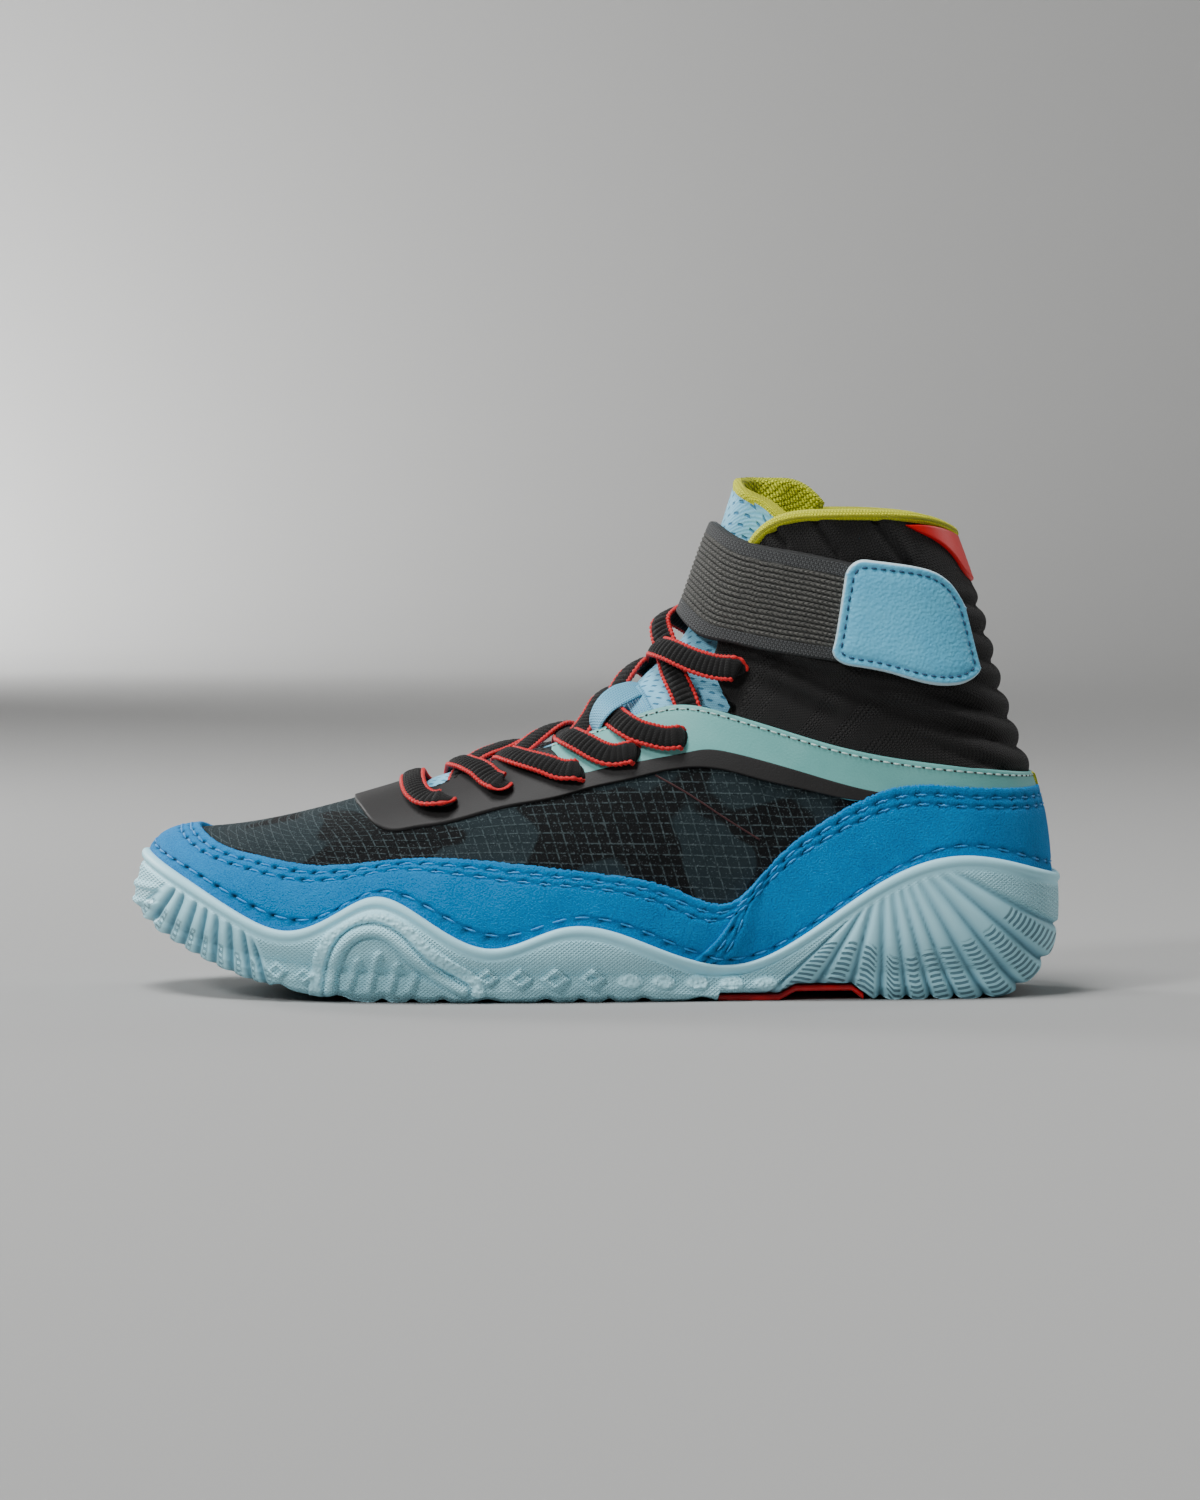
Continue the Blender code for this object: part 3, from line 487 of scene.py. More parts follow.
def dress(tree, shader, colour, bump, distance, strength=1.0):
    """Link a colour and a bump height to a shader. The distance is in millimetres."""
    tree.links.new(colour, shader.inputs["Base Color"])
    relief = add(tree, "ShaderNodeBump", {"Height": bump, "Distance": distance * MM, "Strength": strength})
    tree.links.new(relief.outputs["Normal"], shader.inputs["Normal"])


def new_group(name, inputs, output="Value"):
    """Node group with number inputs and one number output. Returns the group and its two ends."""
    group = bpy.data.node_groups.new(name, "ShaderNodeTree")
    for label, value in inputs.items():
        group.interface.new_socket(label, in_out="INPUT", socket_type="NodeSocketFloat").default_value = value
    group.interface.new_socket(output, in_out="OUTPUT", socket_type="NodeSocketFloat")
    start = group.nodes.new("NodeGroupInput")
    end = group.nodes.new("NodeGroupOutput")
    return group, start.outputs, end.inputs[output]


def effect(tree, group, **values):
    """Output of a node group with its own values."""
    inputs = {label.replace("_", " ").title(): value for label, value in values.items()}
    return add(tree, "ShaderNodeGroup", inputs, node_tree=group).outputs[0]


# %% Shared effects
def make_uneven():
    """Uneven dye or grain: smooth noise of a given size, about a half."""
    group, given, result = new_group("uneven", {"Size": 1.0, "Contrast": 1.0})
    place = add(group, "ShaderNodeTexCoord").outputs["Object"]
    scale = sums(group, "DIVIDE", 1 / MM, given["Size"])
    noise = add(group, "ShaderNodeTexNoise", {"Vector": place, "Scale": scale, "Detail": 3.0})
    swing = sums(group, "SUBTRACT", noise.outputs["Fac"], 0.5)
    group.links.new(sums(group, "MULTIPLY_ADD", swing, given["Contrast"], 0.5), result)
    return group


def make_knit():
    """Knitted loops: upright ribs of small slanted strokes, that meet in a V."""
    group, given, result = new_group("knit", {"Wale": 1.0, "Course": 1.0, "Slant": 0.6})
    across, along = sheet_place(group)
    column = sums(group, "DIVIDE", across, given["Wale"])
    fold = sums(group, "PINGPONG", column, 0.5)
    row = sums(group, "DIVIDE", along, given["Course"])
    slanted = sums(group, "MULTIPLY_ADD", fold, times(group, given["Slant"], 2.0), row)
    stroke = sums(group, "ABSOLUTE", sums(group, "SINE", times(group, slanted, math.pi)))
    rib = ramp(group, fold, 0.0, 0.2, 0.25, 1.0)
    group.links.new(times(group, stroke, rib), result)
    return group


def make_weave():
    """Plain weave: threads that go over and under each other."""
    group, given, result = new_group("weave", {"Pitch": 1.0})
    waves = []
    for way in sheet_place(group):
        turn = times(group, sums(group, "DIVIDE", way, given["Pitch"]), math.pi)
        waves.append(sums(group, "SINE", turn))
    group.links.new(sums(group, "MULTIPLY_ADD", times(group, *waves), 0.5, 0.5), result)
    return group


def make_dots():
    """Staggered round dots of a spacer mesh: 1 in the middle of a dot, 0 between the dots."""
    group, given, result = new_group("dots", {"Pitch": 2.0, "Stretch": 1.0})
    across, along = sheet_place(group)
    row = sums(group, "DIVIDE", along, times(group, given["Pitch"], given["Stretch"]))
    odd = times(group, sums(group, "MODULO", sums(group, "FLOOR", row), 2.0), 0.5)
    column = sums(group, "ADD", sums(group, "DIVIDE", across, given["Pitch"]), odd)
    squares = []
    for way in (column, row):
        off = sums(group, "SUBTRACT", sums(group, "FRACT", way), 0.5)
        squares.append(times(group, off, off))
    far = sums(group, "SQRT", sums(group, "ADD", *squares))
    group.links.new(ramp(group, far, 0.2, 0.5, 1.0, 0.0), result)
    return group


UNEVEN = make_uneven()
KNIT = make_knit()
WEAVE = make_weave()
DOTS = make_dots()
print("shared effects:", ", ".join(group.name for group in bpy.data.node_groups))

# %% [markdown]
# ## Cloth of the upper
# Two cloths meet in the upper. The foot is a thin ripstop mesh: fine threads with stronger ones laid over
# them in diamonds, dyed in loose dark patches. The ankle is a padded black knit. Both only need colour and
# bump, because their threads are far thinner than a millimetre.

# %% Ripstop and knit finishes
RIPSTOP_PITCH = 3.3
RIPSTOP_TURNS = (math.radians(-2), math.radians(-74))


def make_ripstop():
    made, tree, shader = new_finish("ripstop_mesh", 0.7, shine=0.12)
    across, along = sheet_place(tree, "foot")
    lines = []
    for turn in RIPSTOP_TURNS:
        sideways = times(tree, across, -math.sin(turn))
        leaning = sums(tree, "MULTIPLY_ADD", along, math.cos(turn), sideways)
        fold = sums(tree, "PINGPONG", sums(tree, "DIVIDE", leaning, RIPSTOP_PITCH), 0.5)
        lines.append(ramp(tree, fold, 0.04, 0.1, 1.0, 0.0))
    line = sums(tree, "MAXIMUM", *lines)
    place = add(tree, "ShaderNodeTexCoord").outputs["Object"]
    blots = add(tree, "ShaderNodeTexNoise", {"Vector": place, "Scale": 1 / (22 * MM), "Detail": 0.6})
    patch = ramp(tree, blots.outputs["Fac"], 0.5, 0.525)
    threads = effect(tree, WEAVE, pitch=0.42)
    ground = mix(tree, patch, paint(5, 5, 6), paint(29, 41, 45))
    # The stronger threads are painted lighter, as a highlight that is broken up unevenly.
    line_highlight = times(tree, line, ramp(tree, effect(tree, UNEVEN, size=1.0, contrast=1.6), 0.25, 0.7))
    lit = mix(tree, times(tree, line_highlight, 0.7), ground, paint(78, 92, 95))
    # Tiny glints are painted highlights.
    glints = ramp(tree, effect(tree, UNEVEN, size=0.5, contrast=2.4), 0.78, 0.95)
    glinted = mix(tree, times(tree, glints, 0.35), lit, paint(120, 132, 136))
    fleck = mix(tree, times(tree, threads, 0.12), glinted, paint(50, 58, 62))
    raised = sums(tree, "MULTIPLY_ADD", line, 1.2, times(tree, threads, 0.6))
    dress(tree, shader, fleck, raised, 0.16)
    return made


def make_ankle_knit():
    made, tree, shader = new_finish("ankle_knit", 0.72, sheen_weight=0.06, shine=0.22)
    loops = effect(tree, KNIT, wale=1.25, course=1.0, slant=0.7)
    dye = effect(tree, UNEVEN, size=9.0, contrast=0.9)
    shade = mix(tree, dye, paint(8, 8, 9), paint(14, 14, 15))
    lit = mix(tree, times(tree, loops, 0.45), shade, paint(60, 58, 57))
    dress(tree, shader, lit, loops, 0.5)
    return made


def make_spacer(name, dark, light):
    """Springy lining mesh with round dots."""
    made, tree, shader = new_finish(name, 0.8, sheen_weight=0.1)
    dots = effect(tree, DOTS, pitch=1.6, stretch=0.8)
    # Between the raised dots the colour is painted darker, as shade in the hollows.
    shade = mix(tree, dots, dark, light)
    threads = effect(tree, WEAVE, pitch=0.4)
    dress(tree, shader, shade, sums(tree, "MULTIPLY_ADD", threads, 0.25, dots), 0.5)
    return made


RIPSTOP = make_ripstop()
ANKLE_KNIT = make_ankle_knit()
YELLOW_LINING = make_spacer("yellow_lining", paint(176, 186, 0), paint(248, 255, 20))
print("cloth finishes:", RIPSTOP.name, ANKLE_KNIT.name, YELLOW_LINING.name)

# %% [markdown]
# ## Upper
# The upper is one hollow wall. A cloth simulation could puff the ankle, but the padding on this shoe is
# sewn in fixed channels, so the channels and creases are placed as soft troughs along short lines,
# and the rolls behind the heel as a row of arches that fade out towards the front.

# %% Quilting of the ankle
ROLL_START, ROLL_PITCH, ROLL_SLOPE, ROLL_BACK = 70.6, 8.0, 0.33, 130.0
ROLL_HEIGHT = 2.6
ROLL_FADE = (92.0, 126.0)
ROLL_TOP = (122.0, 130.0)
# Creases: line in side view, width, depth
KNIT_CREASES = (
    (((53.7, 105.7), (62.4, 102.1), (73.3, 96.4), (87.9, 91.3), (102.5, 86.2), (117.3, 82.4)), 1.9, 2.7),
    (((37.7, 109.4), (51.5, 106.4), (66.0, 102.2), (80.6, 98.3)), 1.8, 2.1),
    (((86.0, 97.6), (102.5, 93.9), (117.5, 90.3)), 1.8, 1.8),
    (((44.0, 101.5), (60.0, 94.0), (78.0, 86.5)), 2.6, 1.4),
)
CHANNELS = (((53.0, 148.6), (59.5, 139.9)), ((66.8, 150.2), (75.5, 136.6)), ((85.6, 149.7), (98.0, 132.5)))
CHANNEL_WIDTH, CHANNEL_DEPTH = 1.3, 2.4
CHANNEL_PUFF = 1.1


def trough(x, z, line, width, fade):
    """Soft trough along a line of x and z pairs: 1 along the line, 0 away from it and past its ends."""
    points = np.array(line)
    slope = (points[-1, 1] - points[0, 1]) / (points[-1, 0] - points[0, 0])
    level = height(line) if len(line) > 2 else straight(line)
    off = (z - level(x)) / math.hypot(1, slope)
    inside = smooth_step(x, points[0, 0] - fade, points[0, 0] + fade)
    inside = inside * (1 - smooth_step(x, points[-1, 0] - fade, points[-1, 0] + fade))
    return np.exp(-(off / width) ** 2) * inside


def quilting(x, z):
    """How far the knit stands out of the plain last."""
    lift = np.zeros_like(x)
    turn = (z - ROLL_SLOPE * (ROLL_BACK - x) - ROLL_START) / ROLL_PITCH
    roll = np.abs(np.sin(math.pi * turn)) ** 0.7 - 0.55
    reach = smooth_step(x, *ROLL_FADE) * (1 - smooth_step(z, *ROLL_TOP))
    lift += ROLL_HEIGHT * roll * reach
    for line, width, depth in KNIT_CREASES:
        lift -= depth * trough(x, z, line, width, 9.0)
        above = tuple((px, pz + 2.2 * width) for px, pz in line)
        lift += 0.45 * depth * trough(x, z, above, 1.5 * width, 9.0)
    for line in CHANNELS:
        lift -= CHANNEL_DEPTH * trough(x, z, line, CHANNEL_WIDTH, 0.6)
        lift += CHANNEL_PUFF * trough(x, z, line, 4 * CHANNEL_WIDTH, 2.0)
    return lift


# %% Upper mesh
UPPER_HALF = 280
UPPER_BANDS = (("feather", "rim", 3), ("rim", "suede", 5), ("suede", "top", 84))
FOOT_WALL, COLLAR_WALL = 2.0, 4.5
COLLAR_RAMP = (84.0, 104.0)
LINING_STEP = 2
KNIT_LINE = (
    (-20.0, 120.0), (20.0, 95.0), (38.0, 82.0), (52.0, 79.0), (75.0, 73.0), (100.0, 68.0), (150.0, 64.0))


def wall_at(z):
    """Thickness of the upper at a height: thin on the foot, padded at the ankle."""
    return FOOT_WALL + (COLLAR_WALL - FOOT_WALL) * smooth_step(z, *COLLAR_RAMP)


def shell_rows(share):
    """Section and rise of every row of the upper, from the feather edge up to the collar."""
    rows = []
    for low, high, count in UPPER_BANDS:
        part = np.linspace(0, 1, count + 1)[1 if rows else 0:, None]
        rows.append(blend(on_line(low, share), on_line(high, share), part))
    return [np.concatenate([row[i] for row in rows]) for i in (0, 1)]


def with_seam(values):
    """Columns of a ring with the first one repeated at the end, for texture coordinates without a jump."""
    return np.concatenate([values, values[:, :1]], axis=1)


# Rows of dark facing inside the throat, and the height where the throat ends
THROAT_FACING, THROAT_TOP = 22, 120.0


def make_upper():
    share = np.linspace(0, 1, UPPER_HALF + 1)
    bare = both_sides(shell_rows(share), "ring")
    out = normals(bare, True)
    x, z = bare[:, :, 0], bare[:, :, 2]
    over_knit = z - straight(KNIT_LINE)(x)
    lift = quilting(x, z) * smooth_step(over_knit, 0.0, 5.0)
    outside = bare + out * lift[:, :, None]
    lining = (bare + out * (np.minimum(lift, 0) - wall_at(z))[:, :, None])[::-LINING_STEP]
    grid = np.concatenate([outside, lining])
    rows, columns = grid.shape[:2]
    chosen = np.full((rows - 1, columns), 2)
    chosen[:len(outside) - 1] = np.where(over_knit[:-1] > 0, 1, 0)
    chosen[len(outside) - 1:len(outside) + 1] = 1
    chosen[len(outside):len(outside) + THROAT_FACING, z[-1] < THROAT_TOP] = 1
    piece = new_piece("upper_cloth", grid.reshape(-1, 3), grid_faces(rows, columns, True),
                      [RIPSTOP, ANKLE_KNIT, YELLOW_LINING], chosen.reshape(-1))
    girth = with_seam(runs(grid, 0))
    around = runs(with_seam(grid), 1)
    from_heel = around - around[:, UPPER_HALF:UPPER_HALF + 1]
    add_uv(piece, "cloth", rows, columns, True, from_heel, girth)
    add_uv(piece, "foot", rows, columns, True, with_seam(grid[:, :, 0]), girth)
    return piece


upper = make_upper()
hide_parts("upper")
print("upper faces:", len(upper.data.polygons))

# %% [markdown]
# ## Sewing
# A sewn line is a groove in the leather, a dark hole where the needle went in, and a short length of thread
# between two holes. Curves with a bevel could draw the threads, but hundreds of short tubes built as one
# array of rings are quicker and stay a single mesh.

# %% Sewing helpers
STITCH_BOW = np.linspace(0, 1, 8)
STITCH_TURNS = np.linspace(0, 2 * math.pi, 6, endpoint=False)
GROOVE_WIDTH, HOLE_LENGTH, HOLE_WIDTH = 0.7, 1.15, 0.75


def path_run(points):
    """Distance along a path of points."""
    return np.append(0, np.cumsum(np.linalg.norm(np.diff(points, axis=0), axis=1)))


def unit(vectors):
    return vectors / np.maximum(np.linalg.norm(vectors, axis=-1, keepdims=True), 1e-9)


def pick(grid, at, distance):
    """One value for each column of a grid, where its rows pass a distance."""
    columns = np.arange(grid.shape[1])
    row = np.array([np.interp(distance, at[:, column], np.arange(len(at))) for column in columns])
    low = np.clip(row.astype(int), 0, len(at) - 2)
    part = (row - low)[:, None]
    return grid[low, columns] * (1 - part) + grid[low + 1, columns] * part


def needle_marks(off, run, pitch, start):
    """Masks of the groove and of the needle holes, from the distance off a line and the run along it."""
    gap = (run - start + pitch / 2) % pitch - pitch / 2
    groove = np.exp(-(off / GROOVE_WIDTH) ** 2)
    return groove, np.exp(-(gap / HOLE_LENGTH) ** 2 - (off / HOLE_WIDTH) ** 2)


def thread_rings(points, out, pitch, gap, radius, start=0.0):
    """Rings of the stitches along a path: number of the stitch, ring, side, and x, y, z."""
    run = path_run(points)
    starts = np.arange(start + gap / 2, run[-1] - pitch + gap, pitch)
    at = starts[:, None] + STITCH_BOW[None] * (pitch - gap)
    middle = np.stack([np.interp(at, run, points[:, axis]) for axis in range(3)], axis=-1)
    normal = unit(np.stack([np.interp(at, run, out[:, axis]) for axis in range(3)], axis=-1))
    arch = np.sin(math.pi * STITCH_BOW) ** 0.6
    middle = middle + normal * (radius * (1.7 * arch - 1.1))[None, :, None]
    aside = unit(np.cross(np.gradient(middle, axis=1), normal))
    size = radius * (0.6 + 0.4 * arch)[None, :, None, None]
    across = np.cos(STITCH_TURNS)[:, None] * aside[:, :, None]
    around = across + np.sin(STITCH_TURNS)[:, None] * normal[:, :, None]
    return middle[:, :, None] + size * around


def tube_piece(name, rings, finish):
    """Many tubes of the same number of rings as one mesh."""
    tubes, count, sides = rings.shape[:3]
    one = grid_faces(count, sides, True)
    faces = (one[None] + (np.arange(tubes) * count * sides)[:, None, None]).reshape(-1, 4)
    return new_piece(name, rings.reshape(-1, 3), faces, [finish])


def store(piece, name, values):
    """Keep one number for each point of a mesh, for its material to read."""
    layer = piece.data.attributes.new(name, "FLOAT", "POINT")
    layer.data.foreach_set("value", np.asarray(values, np.float32).reshape(-1))


def stored(tree, name):
    return add(tree, "ShaderNodeAttribute", attribute_name=name).outputs["Fac"]


def make_thread(name, dark, light, roughness=0.55):
    """Twisted shiny thread."""
    made, tree, shader = new_finish(name, roughness, sheen_weight=0.1)
    ply = effect(tree, UNEVEN, size=0.5, contrast=2.0)
    dress(tree, shader, mix(tree, ply, dark, light), ply, 0.1)
    return made


BLUE_THREAD = make_thread("blue_thread", paint(0, 108, 190), paint(52, 172, 234), 0.55)
print("stitch sides:", len(STITCH_TURNS))

# %% [markdown]
# ## Suede bands
# Two bands of rough suede wrap the foot. The heel band lies over the toe band along a slanted edge. Their
# rows are placed at true distances from the cut edge and from the rubber, so that the grooves for the
# thread are fine where they are needed. The nap is bump and a soft sheen, since its fibres are hair thin.

# %% Suede finish
SUEDE_LIFT, SUEDE_THICK = 0.5, 1.15
FROM_EDGE = np.array([0, .12, .35, .75, 1.4, 2.1, 2.6, 2.95, 3.2, 3.45, 3.8, 4.3, 4.9, 5.4, 5.75, 6.0,
                      6.2, 6.4, 6.7, 7.1, 7.7])
AROUND_LINE = np.array([-.9, -.5, -.2, 0, .2, .5, .9, 1.5])
BAND_MIDDLE = 12
EDGE_LINES = (3.2, 6.2)
# Distance of the lowest line of thread from the rubber, over x
RUBBER_LINE = (
    (-139.0, 3.2), (-118.0, 3.4), (-94.0, 4.8), (-67.0, 2.4), (-32.0, 5.0), (-10.0, 4.2), (20.0, 4.0),
    (45.0, 3.7), (80.0, 3.2), (114.0, 3.2), (142.0, 3.2))
SEW_PITCH, SEW_GAP, SEW_RADIUS = 7.2, 2.0, 0.36
GROOVE_DEPTH, HOLE_DEPTH = 0.35, 0.5
RAGGED = 0.5


def make_suede():
    made, tree, shader = new_finish("blue_suede", 0.95, sheen_weight=0.08, shine=0.1)
    nap = effect(tree, UNEVEN, size=0.5, contrast=2.2)
    brushed = effect(tree, UNEVEN, size=13.0, contrast=1.4)
    shade = mix(tree, brushed, paint(0, 96, 162), paint(6, 128, 198))
    speckled = mix(tree, times(tree, nap, 0.45), shade, paint(40, 172, 232))
    # The thread grooves are painted darker and the needle holes near black, as the shade in them.
    shaded_grooves = mix(tree, times(tree, stored(tree, "groove"), 0.4), speckled, paint(4, 80, 134))
    shaded_holes = mix(tree, stored(tree, "hole"), shaded_grooves, paint(2, 9, 15))
    dress(tree, shader, shaded_holes, nap, 0.24)
    return made


SUEDE = make_suede()
print("suede finish:", SUEDE.name)


# %% Suede meshes
def band_parts(share, ragged):
    """Share of the way from the rubber to the suede's edge, on rows at true distances from both."""
    part = np.linspace(0, 1, 81)[:, None]
    dense = surface(*blend(on_line("rim", share), on_line("suede", share), part), -1)
    up = runs(dense, 0)
    sewn = straight(RUBBER_LINE)(dense[0, :, 0])
    result = []
    for column in range(len(share)):
        from_rubber = np.concatenate([[0, 0.7, 1.3], sewn[column] + AROUND_LINE])
        whole = up[-1, column] - ragged[column]
        squeeze = min(1, (whole - 0.5) / (FROM_EDGE[-1] + from_rubber[-1]))
        low = from_rubber * squeeze
        high = whole - FROM_EDGE[::-1] * squeeze
        middle = np.linspace(low[-1], high[0], BAND_MIDDLE + 2)[1:-1]
        result.append(np.interp(np.concatenate([low, middle, high]), up[:, column], part[:, 0]))
    return np.stack(result, axis=1)


def band_grid(share_at, columns, through):
    """Grid of one band on the last. Its shares of the way round may lean from row to row."""
    chance = np.random.default_rng(7)
    run = np.linspace(0, 1, columns)
    part = band_parts(share_at(np.ones(columns), run), RAGGED * chance.random(columns) ** 2)
    share = share_at(part, run[None])
    low = [values[None] for values in blend(on_line("feather", share[0]), on_line("rim", share[0]), 0.7)]
    body = blend(on_line("rim", share), on_line("suede", share), part)
    return both_sides([np.concatenate(pair) for pair in zip(low, body)], through)


def make_band(name, share_at, columns, through, overlap):
    """One suede band with its grooves, needle holes and threads. An overlap is sewn down at both ends too."""
    bare = band_grid(share_at, columns, through)
    out = normals(bare)
    up = runs(bare, 0)
    along = runs(bare, 1)
    to_end = along[:, -1:] - along
    from_edge = up[-1:] - up
    rubber = up - up[1:2] - straight(RUBBER_LINE)(bare[:, :, 0])
    groove = np.zeros(bare.shape[:2])
    hole = np.zeros(bare.shape[:2])
    sewn = [(distance - from_edge, 1.6 * number) for number, distance in enumerate(EDGE_LINES)]
    sewn.append((rubber, 3.2))
    for off, start in sewn:
        run = path_run(pick(bare, off, 0.0))[None]
        marks = needle_marks(off, run, SEW_PITCH, start)
        groove = np.maximum(groove, marks[0])
        hole = np.maximum(hole, marks[1])
    step = 0.0
    if overlap:
        from_end = np.minimum(along, to_end)
        step = overlap * (1 - smooth_step(from_end, 7.0, 15.0))
        inner = smooth_step(from_edge, 6.6, 7.6)
        for distance in EDGE_LINES:
            marks = needle_marks(from_end - distance, up, SEW_PITCH, 2.0)
            groove = np.maximum(groove, marks[0] * inner)
            hole = np.maximum(hole, marks[1] * inner)
    relief = step - GROOVE_DEPTH * groove - HOLE_DEPTH * hole
    raised = raise_sheet(bare, SUEDE_LIFT, SUEDE_THICK, relief=relief)
    piece = grid_piece(name, raised, SUEDE)
    store(piece, "groove", np.pad(groove, 1, mode="edge"))
    store(piece, "hole", np.pad(hole, 1, mode="edge"))
    top = raised[1:-1, 1:-1]
    rings = [thread_rings(pick(top, off, 0.0), pick(out, off, 0.0), SEW_PITCH, SEW_GAP, SEW_RADIUS, start)
             for off, start in sewn]
    if overlap:
        rows = slice(6, -19)
        for distance in EDGE_LINES:
            for off in (along - distance, distance - to_end):
                ends = [pick(np.swapaxes(grid, 0, 1), off.T, 0.0)[rows] for grid in (top, out)]
                rings.append(thread_rings(*ends, SEW_PITCH, SEW_GAP, SEW_RADIUS, 2.0))
    tube_piece(name + "_thread", np.concatenate(rings), BLUE_THREAD)
    return piece


SEAM_TOP, SEAM_LOW = 0.594, 0.563
TOE_COLUMNS, HEEL_COLUMNS = 430, 300


def toe_share(part, run):
    return run * (SEAM_LOW + (SEAM_TOP - SEAM_LOW) * part + 0.018)


def heel_share(part, run):
    start = SEAM_LOW + (SEAM_TOP - SEAM_LOW) * part
    return start + (1 - start) * run


toe_band = make_band("toe_suede", toe_share, TOE_COLUMNS, "toe", 0.0)
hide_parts("toe_rand")
heel_band = make_band("heel_suede", heel_share, HEEL_COLUMNS, "heel", 1.1)
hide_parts("heel_counter")
print("suede faces:", len(toe_band.data.polygons) + len(heel_band.data.polygons))

# %% [markdown]
# ## Overlays
# Thin films are bonded to the cloth: a dark strip round the throat that holds the lace holes, a pale
# green panel that ties the instep to the heel, and a red patch behind the collar. Each is the strip
# between two lines drawn in side view, laid on both sides of the foot and lifted by its own thickness.
# Two films are sewn along their upper edge, and a thin dark red line runs down from the throat.

# %% Overlay finishes
def make_film(name, dark, light, roughness, grain, depth):
    """Smooth bonded film with a faint grain."""
    made, tree, shader = new_finish(name, roughness, shine=0.4)
    dye = effect(tree, UNEVEN, size=11.0, contrast=1.2)
    pores = effect(tree, UNEVEN, size=grain, contrast=1.5)
    dress(tree, shader, mix(tree, dye, dark, light), pores, depth)
    return made


STRIP_FILM = make_film("strip_film", paint(22, 21, 21), paint(30, 29, 29), 0.6, 0.5, 0.06)
GREEN_FILM = make_film("green_film", paint(100, 172, 168), paint(120, 190, 185), 0.5, 0.6, 0.06)
RED_FILM = make_film("red_film", paint(214, 4, 8), paint(232, 10, 12), 0.42, 1.0, 0.03)
PALE_THREAD = make_thread("pale_thread", paint(150, 196, 190), paint(226, 246, 240))
BLACK_THREAD = make_thread("black_thread", paint(10, 10, 11), paint(34, 34, 36), 0.7)
print("films:", STRIP_FILM.name, GREEN_FILM.name, RED_FILM.name)

# %% Overlay meshes
STRIP_LOW = (
    (-75.9, 60.4), (-72.8, 58.0), (-70.0, 55.1), (-66.7, 52.9), (-63.6, 52.1), (-56.1, 53.0), (-48.9, 54.0),
    (-34.4, 57.7), (-24.1, 60.2), (-12.4, 62.4), (-1.5, 65.5), (9.7, 68.0), (19.3, 70.4), (31.7, 72.0),
    (38.8, 71.4), (51.2, 68.3), (63.5, 65.6), (82.1, 61.9), (86.0, 61.6))
STRIP_HIGH = (
    (-55.8, 66.6), (-55.2, 64.7), (-51.6, 64.2), (-43.0, 67.5), (-29.0, 73.2), (-17.0, 76.6), (-13.6, 76.6),
    (-11.0, 74.4), (-8.2, 71.2), (-4.6, 69.9), (0.0, 70.6), (9.7, 72.8), (19.3, 74.7), (28.6, 76.5),
    (33.9, 77.5), (42.5, 76.6), (51.2, 74.5), (63.6, 71.1), (85.2, 65.3), (91.5, 64.2))
GREEN_LOW = (
    (-13.6, 75.4), (-9.5, 70.5), (-4.0, 67.5), (10.0, 69.5), (20.0, 71.0), (32.0, 73.5), (42.0, 72.5),
    (51.0, 71.0), (64.0, 67.5), (85.0, 62.0), (94.0, 64.8), (102.0, 65.2), (117.0, 64.7), (138.9, 63.6))
GREEN_HIGH = (
    (-13.4, 78.0), (0.7, 82.9), (14.0, 88.1), (27.0, 91.1), (36.6, 89.9), (45.1, 87.6), (55.3, 84.6),
    (73.5, 79.2), (88.0, 76.0), (102.5, 73.8), (117.2, 72.1), (136.3, 69.6))
RED_LOW = ((96.0, 147.0), (98.5, 145.8), (106.6, 141.6), (112.3, 136.2), (115.5, 131.6), (118.2, 129.1))
RED_HIGH = ((96.0, 147.2), (100.0, 147.2), (104.0, 146.8), (108.0, 145.8), (111.0, 144.6), (112.8, 143.6))
OVERLAY_COLUMNS = 260
# Sewing of the films: distance from the upper edge, then pitch, gap and radius of the threads
GREEN_SEAM, GREEN_PITCH = 2.3, 3.3
PALE_GAP, PALE_RADIUS = 0.9, 0.28
# The short dark tubes between the pale stitches are painted shade of the needle holes.
HOLE_SHADE_GAP, HOLE_SHADE_RADIUS = 2.3, 0.3
STRIP_SEAM, STRIP_PITCH, STRIP_GAP, STRIP_RADIUS = 1.6, 3.0, 0.9, 0.2
STRIP_SEWN = 0.36


def strip_place(low, high, columns, rows, end=None):
    """Section and rise between two lines in side view. One end may be held to the ridge or the back."""
    share = np.linspace(0, 1, columns)
    edges = [locate(*side_curve(pairs)(share)) for pairs in (low, high)]
    for edge in edges:
        if end == "toe":
            edge[1][0] = 1.0
        if end == "heel":
            edge[1][-1] = 0.0
    return blend(*edges, rows[:, None])


def overlay(name, low, high, width, end, lift, thick, finish, columns=OVERLAY_COLUMNS):
    """Film between two lines on both sides of the foot. Returns the piece, its top and its normals."""
    bare = both_sides(strip_place(low, high, columns, edged(12, width), end), end)
    raised = raise_sheet(bare, lift, thick, rounding=0.5)
    return grid_piece(name, raised, finish), raised[1:-1, 1:-1], normals(bare)


def edge_line(top, out, distance):
    """Points and normals along a film at a distance below its upper edge."""
    up = runs(top, 0)
    below = (up[-1:] - up)[::-1]
    return pick(top[::-1], below, distance), pick(out[::-1], below, distance)


strip, strip_top, strip_out = overlay("throat_strip", STRIP_LOW, STRIP_HIGH, 9.0, "toe", 0.45, 0.65,
                                      STRIP_FILM)
green, green_top, green_out = overlay("green_panel", GREEN_LOW, GREEN_HIGH, 14.0, "heel", 0.1, 0.85,
                                      GREEN_FILM)
red, _, _ = overlay("red_patch", RED_LOW, RED_HIGH, 8.0, "heel", 0.2, 0.9, RED_FILM, 90)
green_line = edge_line(green_top, green_out, GREEN_SEAM)
pale = thread_rings(*green_line, GREEN_PITCH, PALE_GAP, PALE_RADIUS)
tube_piece("green_thread", pale, PALE_THREAD)
